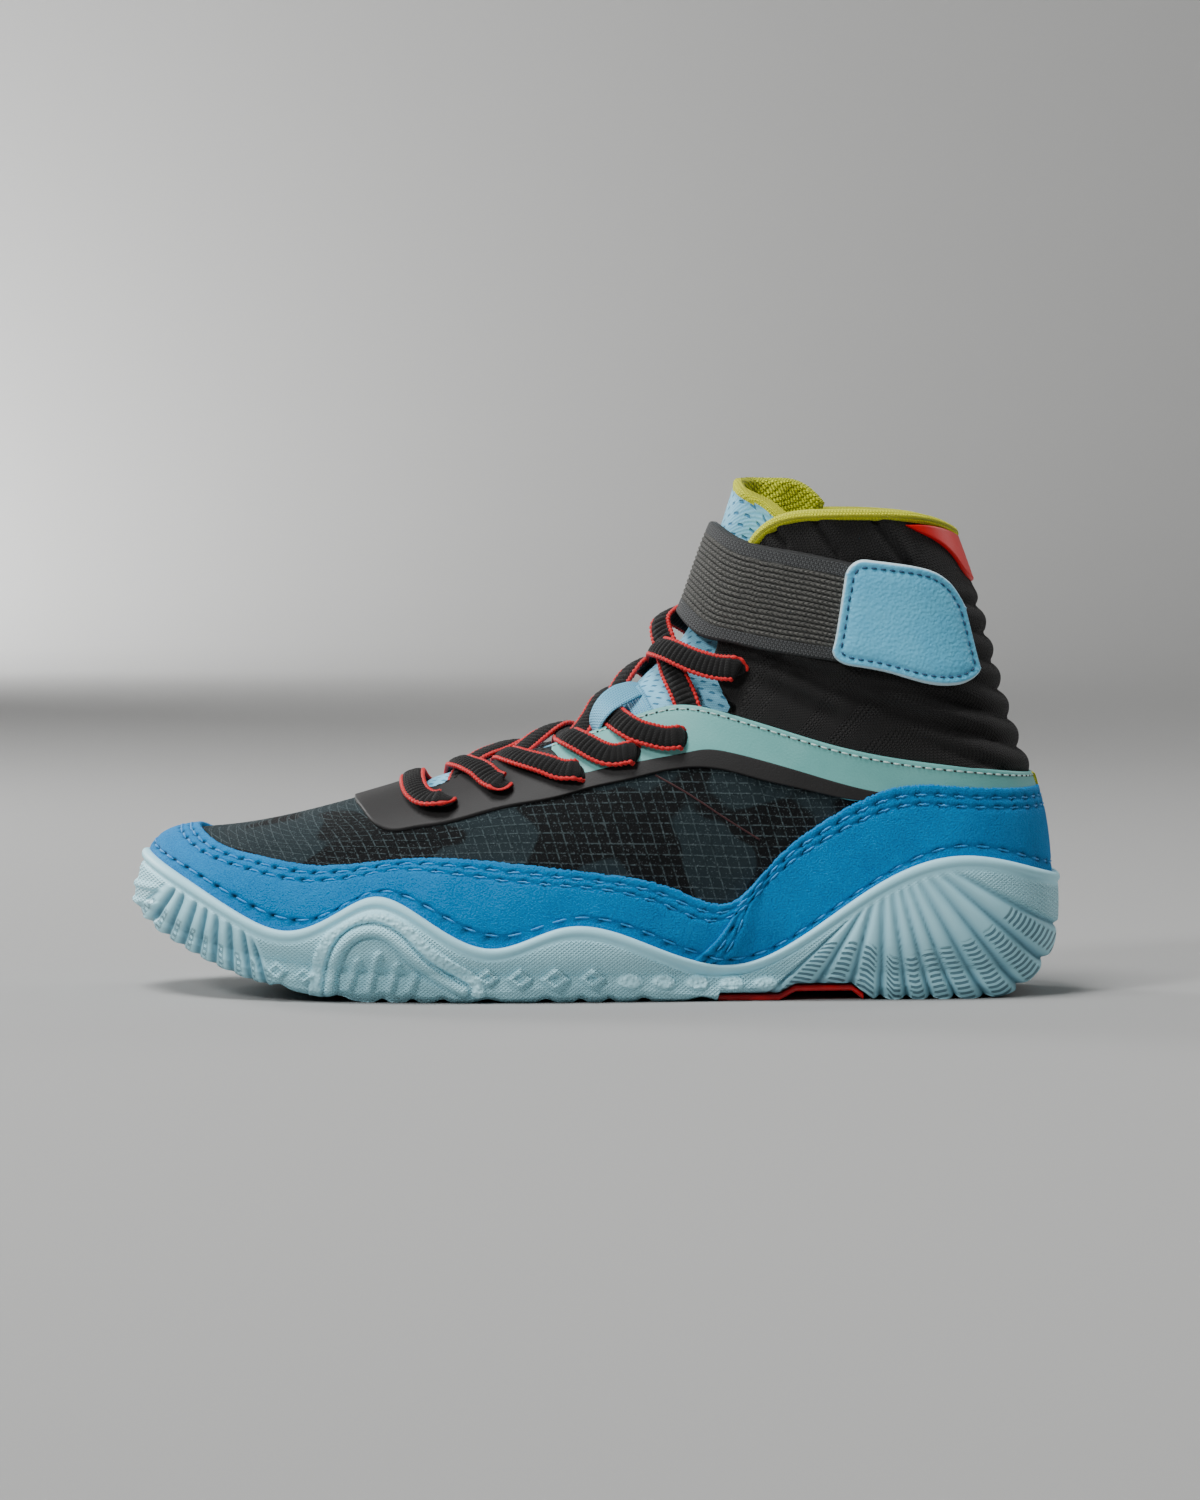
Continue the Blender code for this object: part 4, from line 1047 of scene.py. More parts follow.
# Dark tubes in the gaps between the pale stitches: painted shade of the needle holes.
dark = thread_rings(*green_line, GREEN_PITCH, HOLE_SHADE_GAP, HOLE_SHADE_RADIUS, GREEN_PITCH / 2)
tube_piece("green_seam_hole_shade", dark, BLACK_THREAD)
middle = strip_top.shape[1] // 2
throat = np.abs(np.arange(strip_top.shape[1]) - middle) < STRIP_SEWN * OVERLAY_COLUMNS
strip_line = [part[throat] for part in edge_line(strip_top, strip_out, STRIP_SEAM)]
black = thread_rings(*strip_line, STRIP_PITCH, STRIP_GAP, STRIP_RADIUS)
tube_piece("strip_thread", black, BLACK_THREAD)

RED_LINE = ((18.7, 69.8), (29.5, 63.7), (38.8, 57.6), (51.1, 49.9))
RED_LINE_HALF = 0.32
DARK_RED = make_thread("dark_red_thread", paint(42, 3, 6), paint(66, 6, 11))
line_low, line_high = [[(x, z + half) for x, z in RED_LINE] for half in (-RED_LINE_HALF, RED_LINE_HALF)]
line_place = strip_place(line_low, line_high, 60, np.linspace(0, 1, 6))
for label, side in (("outer", -1), ("inner", 1)):
    bare = surface(*line_place, side)[:, ::-side]
    grid_piece("red_line_" + label, raise_sheet(bare, 0.1, 0.2, rounding=0.2), DARK_RED)
print("overlay faces:", len(strip.data.polygons) + len(green.data.polygons) + len(red.data.polygons))

# %% [markdown]
# ## Collar binding
# The top edge of the padded wall is wrapped in a yellow knitted binding. A curve with a bevel would twist
# where the edge turns at the front of the collar, so the roll is built from the wall's own directions:
# outward and up along the rows of the upper. A small tack of the same knit sits at the back of the heel;
# it is one more overlay.

# %% Collar binding
BINDING_START, BINDING_FULL = 0.694, 0.735
BINDING_HALF = 130
BINDING_WIDE, BINDING_TALL, BINDING_DROP = 3.7, 2.2, 1.0
BINDING_TURNS = np.linspace(0, 2 * math.pi, 18, endpoint=False)


def make_yellow_knit():
    made, tree, shader = new_finish("yellow_knit", 0.8, sheen_weight=0.08)
    loops = effect(tree, KNIT, wale=1.1, course=1.0, slant=0.8)
    shade = mix(tree, loops, paint(218, 228, 0), paint(255, 255, 16))
    dress(tree, shader, shade, loops, 0.6)
    return made


YELLOW_KNIT = make_yellow_knit()
share = np.linspace(BINDING_START, 1, BINDING_HALF)
top_rows = np.array([0.97, 1.0])[:, None]
wall = both_sides(blend(on_line("suede", share), on_line("top", share), top_rows), "heel")
wall_out = normals(wall)[1]
wall_up = unit(wall[1] - wall[0])
size = smooth_step(np.concatenate([share, share[-2::-1]]), BINDING_START - 0.02, BINDING_FULL)[:, None, None]
centre = wall[1] - wall_out * (wall_at(wall[1, :, 2]) / 2)[:, None] - wall_up * BINDING_DROP
wide = boxy(np.cos(BINDING_TURNS), 0.8) * BINDING_WIDE
tall = boxy(np.sin(BINDING_TURNS), 0.8) * BINDING_TALL
roll = centre[:, None] + size * (wide[:, None] * wall_out[:, None] + tall[:, None] * wall_up[:, None])
grid_piece("collar_binding", roll[:, ::-1], YELLOW_KNIT, True)
TACK_LOW, TACK_HIGH = ((138.2, 64.4), (138.42, 64.4)), ((136.55, 68.6), (136.72, 68.6))
overlay("heel_tack", TACK_LOW, TACK_HIGH, 4.0, "heel", 0.8, 0.9, YELLOW_KNIT, 14)
print("binding length in mm:", round(path_run(centre)[-1]))

# %% [markdown]
# ## Tongue
# The tongue is a padded sheet that dips under the throat edges and stands free above the collar. The outside
# is a pale blue mesh with short dashes cut in it, the inside a yellow spacer mesh that rolls over the top.
# Outside and inside meet at half thickness along the edges, so the pad closes by itself.

# %% Tongue
TONGUE_LATERAL = (
    (-60.0, 58.5), (-30.0, 65.5), (0.0, 74.5), (27.0, 83.5), (50.0, 92.0), (54.0, 111.0), (55.0, 131.0),
    (58.0, 149.5))
TONGUE_MEDIAL = (
    (-60.0, 58.5), (-30.0, 65.5), (0.0, 74.5), (27.0, 83.5), (46.0, 94.0), (53.0, 111.0), (62.0, 131.0),
    (72.5, 153.2))
TONGUE_ENDS, TONGUE_EMERGES, TONGUE_OPEN = (5.15, 21.75), (5.3, 5.7), (0.3, 0.7)
TONGUE_THICK, TONGUE_TUCK = 3.0, 1.2
# How far the tongue lies under the ridge of the last: section and millimetres
TONGUE_INSET = (
    (5.15, 1.0), (6.0, 1.2), (6.7, 3.2), (7.3, 4.8), (10.6, 4.6), (11.6, 3.8), (13.6, 2.0), (15.0, 1.3))
TONGUE_ROWS, TONGUE_HALF = 130, 34
TONGUE_ROUND, TONGUE_ROLL = 1.6, 3.6


def make_tongue_mesh():
    made, tree, shader = new_finish("tongue_mesh", 0.75, sheen_weight=0.08)
    across, along = sheet_place(tree)
    row = sums(tree, "DIVIDE", sums(tree, "MULTIPLY_ADD", across, -0.55, along), 3.0)
    odd = times(tree, sums(tree, "MODULO", sums(tree, "FLOOR", row), 2.0), 0.5)
    column = sums(tree, "ADD", sums(tree, "DIVIDE", across, 5.0), odd)
    dash_across = sums(tree, "ABSOLUTE", sums(tree, "SUBTRACT", sums(tree, "FRACT", column), 0.5))
    dash_along = sums(tree, "ABSOLUTE", sums(tree, "SUBTRACT", sums(tree, "FRACT", row), 0.5))
    dash = times(tree, ramp(tree, dash_across, 0.18, 0.26, 1.0, 0.0),
                ramp(tree, dash_along, 0.08, 0.17, 1.0, 0.0))
    threads = effect(tree, WEAVE, pitch=0.55)
    shade = mix(tree, threads, paint(104, 188, 226), paint(150, 220, 246))
    # The dashes are painted darker, as the shade inside the cuts.
    cut = mix(tree, times(tree, dash, 0.85), shade, paint(40, 122, 166))
    relief = sums(tree, "MULTIPLY_ADD", dash, -1.6, times(tree, threads, 0.4))
    dress(tree, shader, cut, relief, 0.3)
    return made


def make_tongue():
    along = np.linspace(0, 1, TONGUE_ROWS + 1)
    across = np.linspace(0, 1, TONGUE_HALF + 1)
    ridge = TONGUE_ENDS[0] + (TONGUE_ENDS[1] - TONGUE_ENDS[0]) * along
    halves = []
    for table, side in ((TONGUE_MEDIAL, 1), (TONGUE_LATERAL, -1)):
        edge = locate(*side_curve(table)(along))
        rounded = (1 - (1 - across) ** 8 - across) * smooth_step(along, 0.8, 1.0)[:, None] * (side > 0)
        section = edge[0][:, None] + (ridge - edge[0])[:, None] * (across + rounded)
        rise = edge[1][:, None] + (1 - edge[1])[:, None] * across
        halves.append((surface(section, rise, side), section))
    sheet, section = [np.concatenate([inner, outer[:, -2::-1]], axis=1) for inner, outer in zip(*halves)]
    middle = np.concatenate([across, across[-2::-1]])
    tucked = wall_at(sheet[:, :, 2]) + TONGUE_TUCK
    is_open = smooth_step(middle, *TONGUE_OPEN)[None] * smooth_step(section, *TONGUE_EMERGES)
    inset = straight(TONGUE_INSET)(section)
    sink = np.maximum(tucked, inset) + (inset - np.maximum(tucked, inset)) * is_open
    out = normals(sheet)
    run_up, run_across = runs(sheet, 0), runs(sheet, 1)
    to_top = run_up[-1:] - run_up
    to_edge = np.minimum(np.minimum(run_across, run_across[:, -1:] - run_across), np.minimum(to_top, run_up))
    full = np.sqrt(1 - (1 - np.clip(to_edge / TONGUE_ROUND, 0, 1)) ** 2)
    rolled = 0.5 * np.exp(-((np.minimum(to_top, to_edge + 40 * (to_top > 30)) - 2.0) / 1.6) ** 2)
    outside = sheet - out * (sink + TONGUE_THICK / 2 * (1 - full) - rolled)[:, :, None]
    inside = sheet - out * (sink + TONGUE_THICK / 2 * (1 + full))[:, :, None]
    grid = np.concatenate([outside, inside[:, -2:0:-1]], axis=1)
    rows, columns = grid.shape[:2]
    wide = outside.shape[1]
    chosen = np.ones((rows - 1, columns), int)
    near_top = np.minimum(to_top, np.where(to_top < 26, to_edge, 99))[:-1]
    chosen[:, :wide] = np.where(near_top < TONGUE_ROLL, 2, 0)
    piece = new_piece("tongue_pad", grid.reshape(-1, 3), grid_faces(rows, columns, True),
                      [make_tongue_mesh(), YELLOW_LINING, YELLOW_KNIT], chosen.reshape(-1))
    add_uv(piece, "cloth", rows, columns, True, runs(with_seam(grid), 1), with_seam(runs(grid, 0)))
    return piece


tongue = make_tongue()
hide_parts("tongue")
print("tongue faces:", len(tongue.data.polygons))

# %% [markdown]
# ## Ankle strap and tab
# The strap is ribbed elastic: thick cords run lengthwise between two plain knitted borders. The cords are
# real ridges, because they catch the light along the curve at the front; their twist is bump. The tab is a
# stitched piece of soft synthetic leather on the end of the strap.

# %% Ankle strap
STRAP_UPPER = ((38.6, 147.6), (41.5, 145.4), (46.6, 142.5), (63.4, 139.0), (78.2, 135.9), (103.7, 131.2))
STRAP_LOWER = ((27.2, 118.0), (30.6, 114.0), (38.9, 110.8), (51.2, 108.5), (75.1, 105.0), (107.0, 99.4))
STRAP_LIFT, STRAP_THICK = 0.7, 1.8
STRAP_HALF, STRAP_ROWS = 190, 120
STRAP_CORDS, STRAP_BORDER, STRAP_RIDGE = 14, 0.14, 0.5
STRAP_PUFF = 0.7


def make_elastic():
    made, tree, shader = new_finish("ribbed_elastic", 0.85, sheen_weight=0.06, shine=0.25)
    ridge = stored(tree, "ridge")
    loops = effect(tree, KNIT, wale=1.3, course=1.0, slant=0.9)
    around, _ = sheet_place(tree)
    lean = sums(tree, "MULTIPLY_ADD", around, 1 / 1.7, times(tree, stored(tree, "cord"), 0.8))
    twist = sums(tree, "ABSOLUTE", sums(tree, "SINE", times(tree, lean, math.pi)))
    flecks = effect(tree, UNEVEN, size=0.8, contrast=2.2)
    border = mix(tree, loops, paint(28, 29, 31), paint(96, 98, 99))
    cord = mix(tree, twist, paint(44, 45, 46), paint(104, 104, 100))
    lit = mix(tree, times(tree, flecks, 0.3), cord, paint(150, 148, 140))
    # The gaps between the cords are painted near black, as shade.
    ribbed = mix(tree, ramp(tree, ridge, 0.05, 0.7), paint(24, 25, 26), lit)
    inside = stored(tree, "corded")
    shade = mix(tree, inside, border, ribbed)
    bump = sums(tree, "MULTIPLY_ADD", times(tree, twist, inside), 1.4, loops)
    dress(tree, shader, shade, bump, 0.5)
    return made


def make_strap():
    share = np.linspace(0, 1, STRAP_HALF + 1)
    edges = [locate(*side_curve(pairs, True)(share)) for pairs in (STRAP_LOWER, STRAP_UPPER)]
    for edge in edges:
        edge[1][0] = 1.0
    part = edged(STRAP_ROWS, 31.0)
    place = blend(*edges, part[:, None])
    bare = np.concatenate([surface(*place, 1)[:, :0:-1], surface(*place, -1)], axis=1)
    inner = (part - STRAP_BORDER) / (1 - 2 * STRAP_BORDER)
    corded = ((inner > 0) & (inner < 1))[:, None] + np.zeros(bare.shape[1])
    chance = np.random.default_rng(3)
    sway = np.interp(np.arange(bare.shape[1]), np.linspace(0, bare.shape[1], 60), chance.normal(0, 0.04, 60))
    cord = STRAP_CORDS * inner[:, None] + sway
    ridge = np.where(corded > 0, np.abs(np.sin(math.pi * cord)) ** 0.8, 0.75)
    puff = STRAP_PUFF * np.sin(math.pi * part)[:, None]
    relief = STRAP_RIDGE * (ridge - 0.75) + puff
    raised = raise_sheet(bare, STRAP_LIFT, STRAP_THICK, rounding=1.0, relief=relief)
    piece = grid_piece("ankle_strap_elastic", raised, make_elastic())
    for label, values in (("ridge", ridge), ("cord", cord), ("corded", corded)):
        store(piece, label, np.pad(values, 1, mode="edge"))
    return piece


strap = make_strap()
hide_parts("ankle_strap")
print("strap faces:", len(strap.data.polygons))

# %% Strap tab
TAB_UPPER = ((78.0, 137.4), (93.0, 135.2), (104.6, 131.4), (111.3, 124.2))
TAB_LOWER = ((72.4, 104.7), (92.0, 101.2), (107.0, 97.2), (118.0, 98.4))
TAB_LIFT, TAB_THICK, TAB_ROUND = 3.1, 1.8, 0.16
TAB_COLUMNS, TAB_ROWS, TAB_SEAM = 150, 100, 2.6
TAB_PITCH, TAB_GAP, TAB_RADIUS = 2.9, 0.8, 0.32
TAB_GRAIN = 0.95


def make_tab_leather():
    made, tree, shader = new_finish("tab_leather", 0.42, coat_weight=0.08, coat_roughness=0.4)
    place = add(tree, "ShaderNodeTexCoord").outputs["Object"]
    grain = {"Vector": place, "Scale": 1 / (TAB_GRAIN * MM)}
    cells = add(tree, "ShaderNodeTexVoronoi", grain, feature="SMOOTH_F1")
    dye = effect(tree, UNEVEN, size=9.0, contrast=1.0)
    shade = mix(tree, dye, paint(88, 186, 228), paint(110, 206, 240))
    # A pale rim along the outline is a painted highlight on the rounded edge.
    edge = mix(tree, stored(tree, "edge"), shade, paint(210, 234, 242))
    # The seam groove is painted darker, as shade.
    shaded_grooves = mix(tree, times(tree, stored(tree, "groove"), 0.35), edge, paint(70, 140, 178))
    dress(tree, shader, shaded_grooves, cells.outputs["Distance"], 0.22, 1.0)
    return made


def make_tab():
    along = np.linspace(0, 1, TAB_COLUMNS + 1)
    near_end = np.clip(np.minimum(along, 1 - along) / TAB_ROUND, 0, 1)
    trim = TAB_ROUND * (1 - np.sqrt(1 - (1 - near_end) ** 2))
    edges = [locate(*side_curve(pairs)(along)) for pairs in (TAB_LOWER, TAB_UPPER)]
    part = edged(TAB_ROWS, 33.0)[:, None]
    bare = surface(*blend(*edges, trim + part * (1 - 2 * trim)), -1)
    out = normals(bare)
    outline = np.concatenate([bare[0], bare[1:, -1], bare[-1, -2::-1], bare[-2:0:-1, 0]])
    flat = bare.reshape(-1, 3)
    apart = [np.linalg.norm(flat - point, axis=1) for point in outline]
    inside = np.min(apart, axis=0).reshape(bare.shape[:2])
    off = inside - TAB_SEAM
    groove = np.exp(-(off / 0.7) ** 2)
    level = np.sqrt(1 - (1 - np.clip(inside / 1.1, 0, 1)) ** 2)
    puff = 0.25 * smooth_step(inside, TAB_SEAM, TAB_SEAM + 4.0)
    top = bare + out * (TAB_LIFT + TAB_THICK * level - 0.3 * groove + puff)[:, :, None]
    low = bare + out * (TAB_LIFT - 0.2)
    raised = np.pad(top, ((1, 1), (1, 1), (0, 0)), mode="edge")
    foot = np.pad(low, ((1, 1), (1, 1), (0, 0)), mode="edge")
    raised[[0, -1]] = foot[[0, -1]]
    raised[:, [0, -1]] = foot[:, [0, -1]]
    piece = grid_piece("tab", raised, make_tab_leather())
    # Mask of the painted highlight along the edge.
    store(piece, "edge", np.pad(1 - smooth_step(inside, 0.35, 0.9), 1, constant_values=1.0))
    store(piece, "groove", np.pad(groove, 1, mode="edge"))
    return piece, top, out, inside


def inner_line(top, out, inside, distance):
    """Closed line on a sheet at a distance inside its outline, found by walking in from the outline."""
    rows, columns = inside.shape
    middle = (rows // 2, columns // 2)
    points, directions = [], []
    for turn in np.linspace(0, 2 * math.pi, 260):
        reach = np.linspace(0.2, 1.02, 500)
        row = np.clip(middle[0] + reach * rows / 2 * 1.42 * math.sin(turn), 0, rows - 1)
        column = np.clip(middle[1] + reach * columns / 2 * 1.42 * math.cos(turn), 0, columns - 1)
        near = inside[row.astype(int), column.astype(int)]
        at = np.argmax(near < distance)
        cell = (int(row[at]), int(column[at]))
        points.append(top[cell])
        directions.append(out[cell])
    smooth = np.array(points)
    for _ in range(6):
        smooth[1:-1] = (smooth[:-2] + 2 * smooth[1:-1] + smooth[2:]) / 4
    return smooth, np.array(directions)


NAVY_THREAD = make_thread("navy_thread", paint(8, 46, 76), paint(28, 88, 128))
tab, tab_top, tab_out, tab_inside = make_tab()
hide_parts("strap_tab")
tab_line = inner_line(tab_top, tab_out, tab_inside, TAB_SEAM)
navy = thread_rings(*tab_line, TAB_PITCH, TAB_GAP, TAB_RADIUS)
tube_piece("tab_thread", navy, NAVY_THREAD)
print("tab faces:", len(tab.data.polygons))

# %% [markdown]
# ## Lace
# The lace is a thick flat braid: ribbed black cord with a red crocheted edge on both sides. Each length
# leaves a hole in the throat strip, goes over the instep and dives under the far edge of the throat. A curve
# object could carry the braid, but its frame has to lean with the foot. So each length is a smooth path
# through a few points in millimetres, and its face looks where the last below it looks.

# %% Lace paths
# Lengths from their hole to their far end: x, y, z. The bar goes from hole to hole.
LACE_BAR = (
    (-46.3, -26.2, 60.8), (-47.5, -28.7, 62.4), (-50.2, -27.9, 62.2), (-53.0, -25.2, 62.4),
    (-55.4, -20.6, 63.8), (-56.9, -12.8, 66.1), (-57.4, -3.0, 67.4), (-57.5, 7.0, 67.9),
    (-57.4, 15.5, 67.0), (-56.9, 21.0, 65.6), (-55.4, 26.4, 63.6), (-53.0, 29.6, 62.1), (-50.2, 31.2, 62.0),
    (-47.5, 31.8, 62.2), (-46.3, 29.6, 60.6))
LACE_OVER = (
    ((-28.8, -25.4, 65.6), (-29.9, -27.5, 67.4), (-31.6, -25.4, 68.0), (-34.8, -20.6, 70.2),
     (-38.6, -14.2, 71.9), (-41.6, -7.7, 72.5), (-42.8, -1.0, 72.4), (-43.4, 8.0, 71.4),
     (-43.9, 15.0, 68.8), (-44.2, 21.0, 63.4)),
    ((-4.4, -28.0, 69.6), (-6.3, -30.2, 71.2), (-9.0, -29.4, 71.1), (-14.0, -26.6, 72.2),
     (-20.7, -21.6, 73.9), (-25.6, -15.6, 75.0), (-27.6, -9.5, 75.2), (-28.4, -2.0, 74.6),
     (-28.8, 7.0, 74.5), (-29.1, 14.0, 72.4), (-29.3, 20.0, 67.8)),
    ((12.6, -28.4, 75.3), (11.0, -30.8, 76.7), (8.6, -30.4, 76.2), (4.4, -29.6, 75.9),
     (1.8, -28.2, 76.6), (-3.2, -24.0, 79.0), (-7.4, -18.4, 80.8), (-8.6, -11.0, 81.0),
     (-9.1, -2.0, 80.6), (-9.5, 7.0, 80.6), (-9.8, 14.0, 77.2), (-10.0, 20.0, 71.4)),
    ((27.4, -27.6, 80.2), (25.8, -30.4, 81.4), (23.2, -30.2, 81.1), (18.6, -29.4, 81.7),
     (13.0, -27.2, 83.2), (9.2, -24.0, 85.2), (6.6, -18.6, 86.8), (5.4, -12.0, 87.8), (4.8, -3.0, 89.3),
     (4.2, 6.0, 89.3), (3.8, 13.0, 85.2), (3.6, 19.0, 78.6)),
    ((44.6, -24.0, 101.6), (42.8, -26.6, 102.6), (40.2, -25.6, 102.7), (34.6, -22.8, 103.6),
     (29.3, -19.4, 105.3), (23.4, -14.2, 107.8), (20.2, -8.5, 108.6), (19.5, 0.0, 108.2),
     (19.4, 8.0, 106.2), (19.6, 14.0, 102.2), (20.2, 19.0, 96.9)),
)
LACE_UNDER = (
    ((-20.4, 25.3, 66.4), (-22.0, 27.3, 70.0), (-23.4, 22.5, 73.6), (-25.0, 17.2, 76.0),
     (-27.0, 12.0, 77.0), (-30.7, 7.0, 76.0), (-35.5, 1.0, 74.4), (-39.9, -5.0, 71.3),
     (-42.1, -10.0, 67.9), (-42.5, -14.0, 65.0)),
    ((-1.6, 25.2, 70.6), (-3.0, 27.3, 74.0), (-5.5, 23.0, 78.0), (-8.5, 18.2, 81.0),
     (-11.9, 13.5, 82.4), (-15.4, 9.0, 81.4), (-19.1, 4.5, 79.0), (-23.0, -1.0, 75.9),
     (-26.2, -8.0, 73.3), (-28.1, -13.0, 70.4), (-28.7, -17.0, 67.6)),
    ((17.8, 24.3, 78.0), (16.5, 27.1, 80.5), (13.5, 23.6, 86.0), (9.5, 18.0, 91.0), (4.8, 11.5, 93.8),
     (2.3, 7.5, 92.7), (-0.1, 3.5, 88.6), (-3.4, -2.5, 83.6), (-6.5, -9.0, 79.6), (-8.2, -14.0, 76.0),
     (-8.7, -18.0, 72.0)),
    ((30.8, 24.2, 84.3), (29.5, 26.9, 86.5), (26.0, 24.0, 91.5), (20.2, 17.0, 98.5), (14.3, 9.5, 102.6),
     (11.4, 5.5, 101.0), (8.3, 2.0, 96.9), (5.5, -3.5, 91.2), (3.7, -9.0, 86.9), (3.2, -14.0, 83.2),
     (3.3, -19.0, 79.5)),
    ((46.2, 24.0, 99.3), (44.5, 26.6, 101.0), (39.0, 24.6, 107.0), (32.5, 18.5, 113.8),
     (26.3, 10.5, 117.9), (22.8, 4.5, 118.3), (20.8, 1.0, 116.6), (20.8, -1.5, 113.8),
     (21.8, -5.0, 110.4), (23.3, -9.0, 105.1), (24.2, -13.0, 101.7), (26.8, -18.5, 95.9),
     (29.1, -22.0, 89.8), (30.1, -23.5, 85.6), (30.6, -23.5, 81.2)),
)
LACE_STEP = 0.2
LEAN_OVER, LEAN_UNDER, LEAN_REACH = 0.15, 0.5, 11.0


def on_last(section, from_ridge):
    """Points and outward normals of the last. The distance from the ridge is below 0 on the outer side."""
    side = np.where(from_ridge < 0, -1, 1)
    rise = 1 - np.abs(from_ridge)
    low = np.minimum(rise, 0.994)
    here = surface(section, low, side)
    ahead = surface(section + 0.004, low, side) - here
    up = surface(section, low + 0.002, side) - here
    return surface(section, rise, side), unit(np.cross(ahead, up) * -side[:, None])


def path_through(points, step):
    """Smooth path through points, in steps of about one length, and the distance along it."""
    points = np.array(points)
    run = path_run(points)
    at = np.linspace(0, run[-1], int(run[-1] / step))
    path = np.stack([spline(run, points[:, axis])(at) for axis in range(3)], axis=-1)
    return path, path_run(path)


def lace_length(points, lean):
    """Path of one length, the way its face looks and the distance along it. It leans to the outer side."""
    path, run = path_through(points, LACE_STEP)
    section, rise = locate(path[:, 0], path[:, 2])
    off = path[:, 1] - SECTION["ridge"](section)
    out = on_last(section, np.where(off < 0, -1, 1) * (1 - rise))[1]
    out[:, 1] = out[:, 1] * np.clip(np.abs(off) / 12, 0, 1) - lean * np.exp(-(off / LEAN_REACH) ** 2)
    for _ in range(40):
        out[1:-1] = (out[:-2] + out[1:-1] + out[2:]) / 3
    return path, unit(out), run


def ribbon_frame(points, out):
    """Directions across a ribbon and out of its face, along a path."""
    along = unit(np.gradient(points, axis=0))
    aside = unit(np.cross(along, out))
    return aside, np.cross(aside, along)


lengths = [lace_length(LACE_BAR, 0.0)]
lengths += [lace_length(points, LEAN_OVER) for points in LACE_OVER]
lengths += [lace_length(points, LEAN_UNDER) for points in LACE_UNDER]
print("lengths of lace:", len(lengths), "in mm:", round(sum(run[-1] for _, _, run in lengths)))

# %% Lace meshes
LACE_WIDTH, LACE_THICK = 6.9, 3.0
LACE_RIB, LACE_RIDGE = 1.9, 0.6
LACE_NARROW, LACE_SPREAD = 0.85, 3.0
PIPING, PIPING_BEAD = 0.72, 1.45
LACE_TURNS = np.linspace(0, 2 * math.pi, 14, endpoint=False)
PIPING_TURNS = np.linspace(0, 2 * math.pi, 7, endpoint=False)


def make_lace_cord():
    made, tree, shader = new_finish("lace_cord", 0.8, sheen_weight=0.08, shine=0.25)
    braid = effect(tree, KNIT, wale=0.9, course=0.55, slant=0.6)
    ridge = stored(tree, "ridge")
    cord = mix(tree, braid, paint(6, 6, 6), paint(28, 27, 27))
    # The grooves between the ribs are painted near black, as shade.
    dress(tree, shader, mix(tree, ridge, paint(4, 4, 4), cord), braid, 0.14)
    return made


def braid_rings(points, out, run):
    """Rings of the ribbed body and of the two red edges along one length, and the height of the ribs."""
    aside, face = ribbon_frame(points, out)
    from_end = np.minimum(run, run[-1] - run)
    half = LACE_WIDTH / 2 * (LACE_NARROW + (1 - LACE_NARROW) * smooth_step(from_end, 0, LACE_SPREAD))
    ridge = np.abs(np.sin(math.pi * run / LACE_RIB)) ** 0.8
    thick = LACE_THICK / 2 + LACE_RIDGE * (ridge - 0.7)
    wide = boxy(np.cos(LACE_TURNS), 0.75)
    tall = boxy(np.sin(LACE_TURNS), 0.85)
    body = points[:, None] + (half[:, None] * wide)[:, :, None] * aside[:, None]
    body = body + (thick[:, None] * tall)[:, :, None] * face[:, None]
    edges = []
    for hand in (-1, 1):
        middle = points + aside * (hand * half)[:, None] + face * 0.3
        size = PIPING * (0.62 + 0.5 * np.abs(np.sin(math.pi * run / PIPING_BEAD)))
        ring = np.cos(PIPING_TURNS)[:, None] * aside[:, None] + np.sin(PIPING_TURNS)[:, None] * face[:, None]
        edges.append(middle[:, None] + size[:, None, None] * ring)
    return body, edges, ridge


def loops_piece(name, tubes, finish):
    """Tubes of different lengths as one mesh, with texture coordinates round and along each of them."""
    points, faces, places, count = [], [], [], 0
    for rings in tubes:
        rows, columns = rings.shape[:2]
        corner = grid_faces(rows, columns, True)
        faces.append(corner + count)
        around, along = runs(with_seam(rings), 1), with_seam(runs(rings, 0))
        row = np.repeat(np.arange(rows - 1), columns)[:, None] + np.array([0, 0, 1, 1])
        column = np.tile(np.arange(columns), rows - 1)[:, None] + np.array([0, 1, 1, 0])
        places.append(np.stack([around[row, column], along[row, column]], axis=-1).reshape(-1, 2) / 10)
        points.append(rings.reshape(-1, 3))
        count += rows * columns
    piece = new_piece(name, np.concatenate(points), np.concatenate(faces), [finish])
    layer = piece.data.uv_layers.new(name="cloth")
    layer.data.foreach_set("uv", np.concatenate(places).astype(np.float32).reshape(-1))
    return piece


RED_EDGE = make_thread("red_edge", paint(160, 0, 6), paint(236, 8, 16), 0.6)
bodies, edgings, ridges = [], [], []
for points, out, run in lengths:
    body, edges, ridge = braid_rings(points, out, run)
    bodies.append(body)
    edgings.extend(edges)
    ridges.append(np.repeat(ridge, len(LACE_TURNS)))
lace = loops_piece("lace_braid", bodies, make_lace_cord())
store(lace, "ridge", np.concatenate(ridges))
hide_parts("lace_bar", *[f"lace_cross_{number}" for number in range(1, 6)])
edging = loops_piece("lace_edging", edgings, RED_EDGE)
print("lace faces:", len(lace.data.polygons) + len(edging.data.polygons))

# %% [markdown]
# ## Lace keeper
# A loop of pale webbing on the tongue holds the lace in the middle. It is a plain ribbon: it comes from
# under a crossing, bends round it and is sewn down on the tongue with a short tail. Its face is given at
# each point, because a loop of webbing twists as it likes.

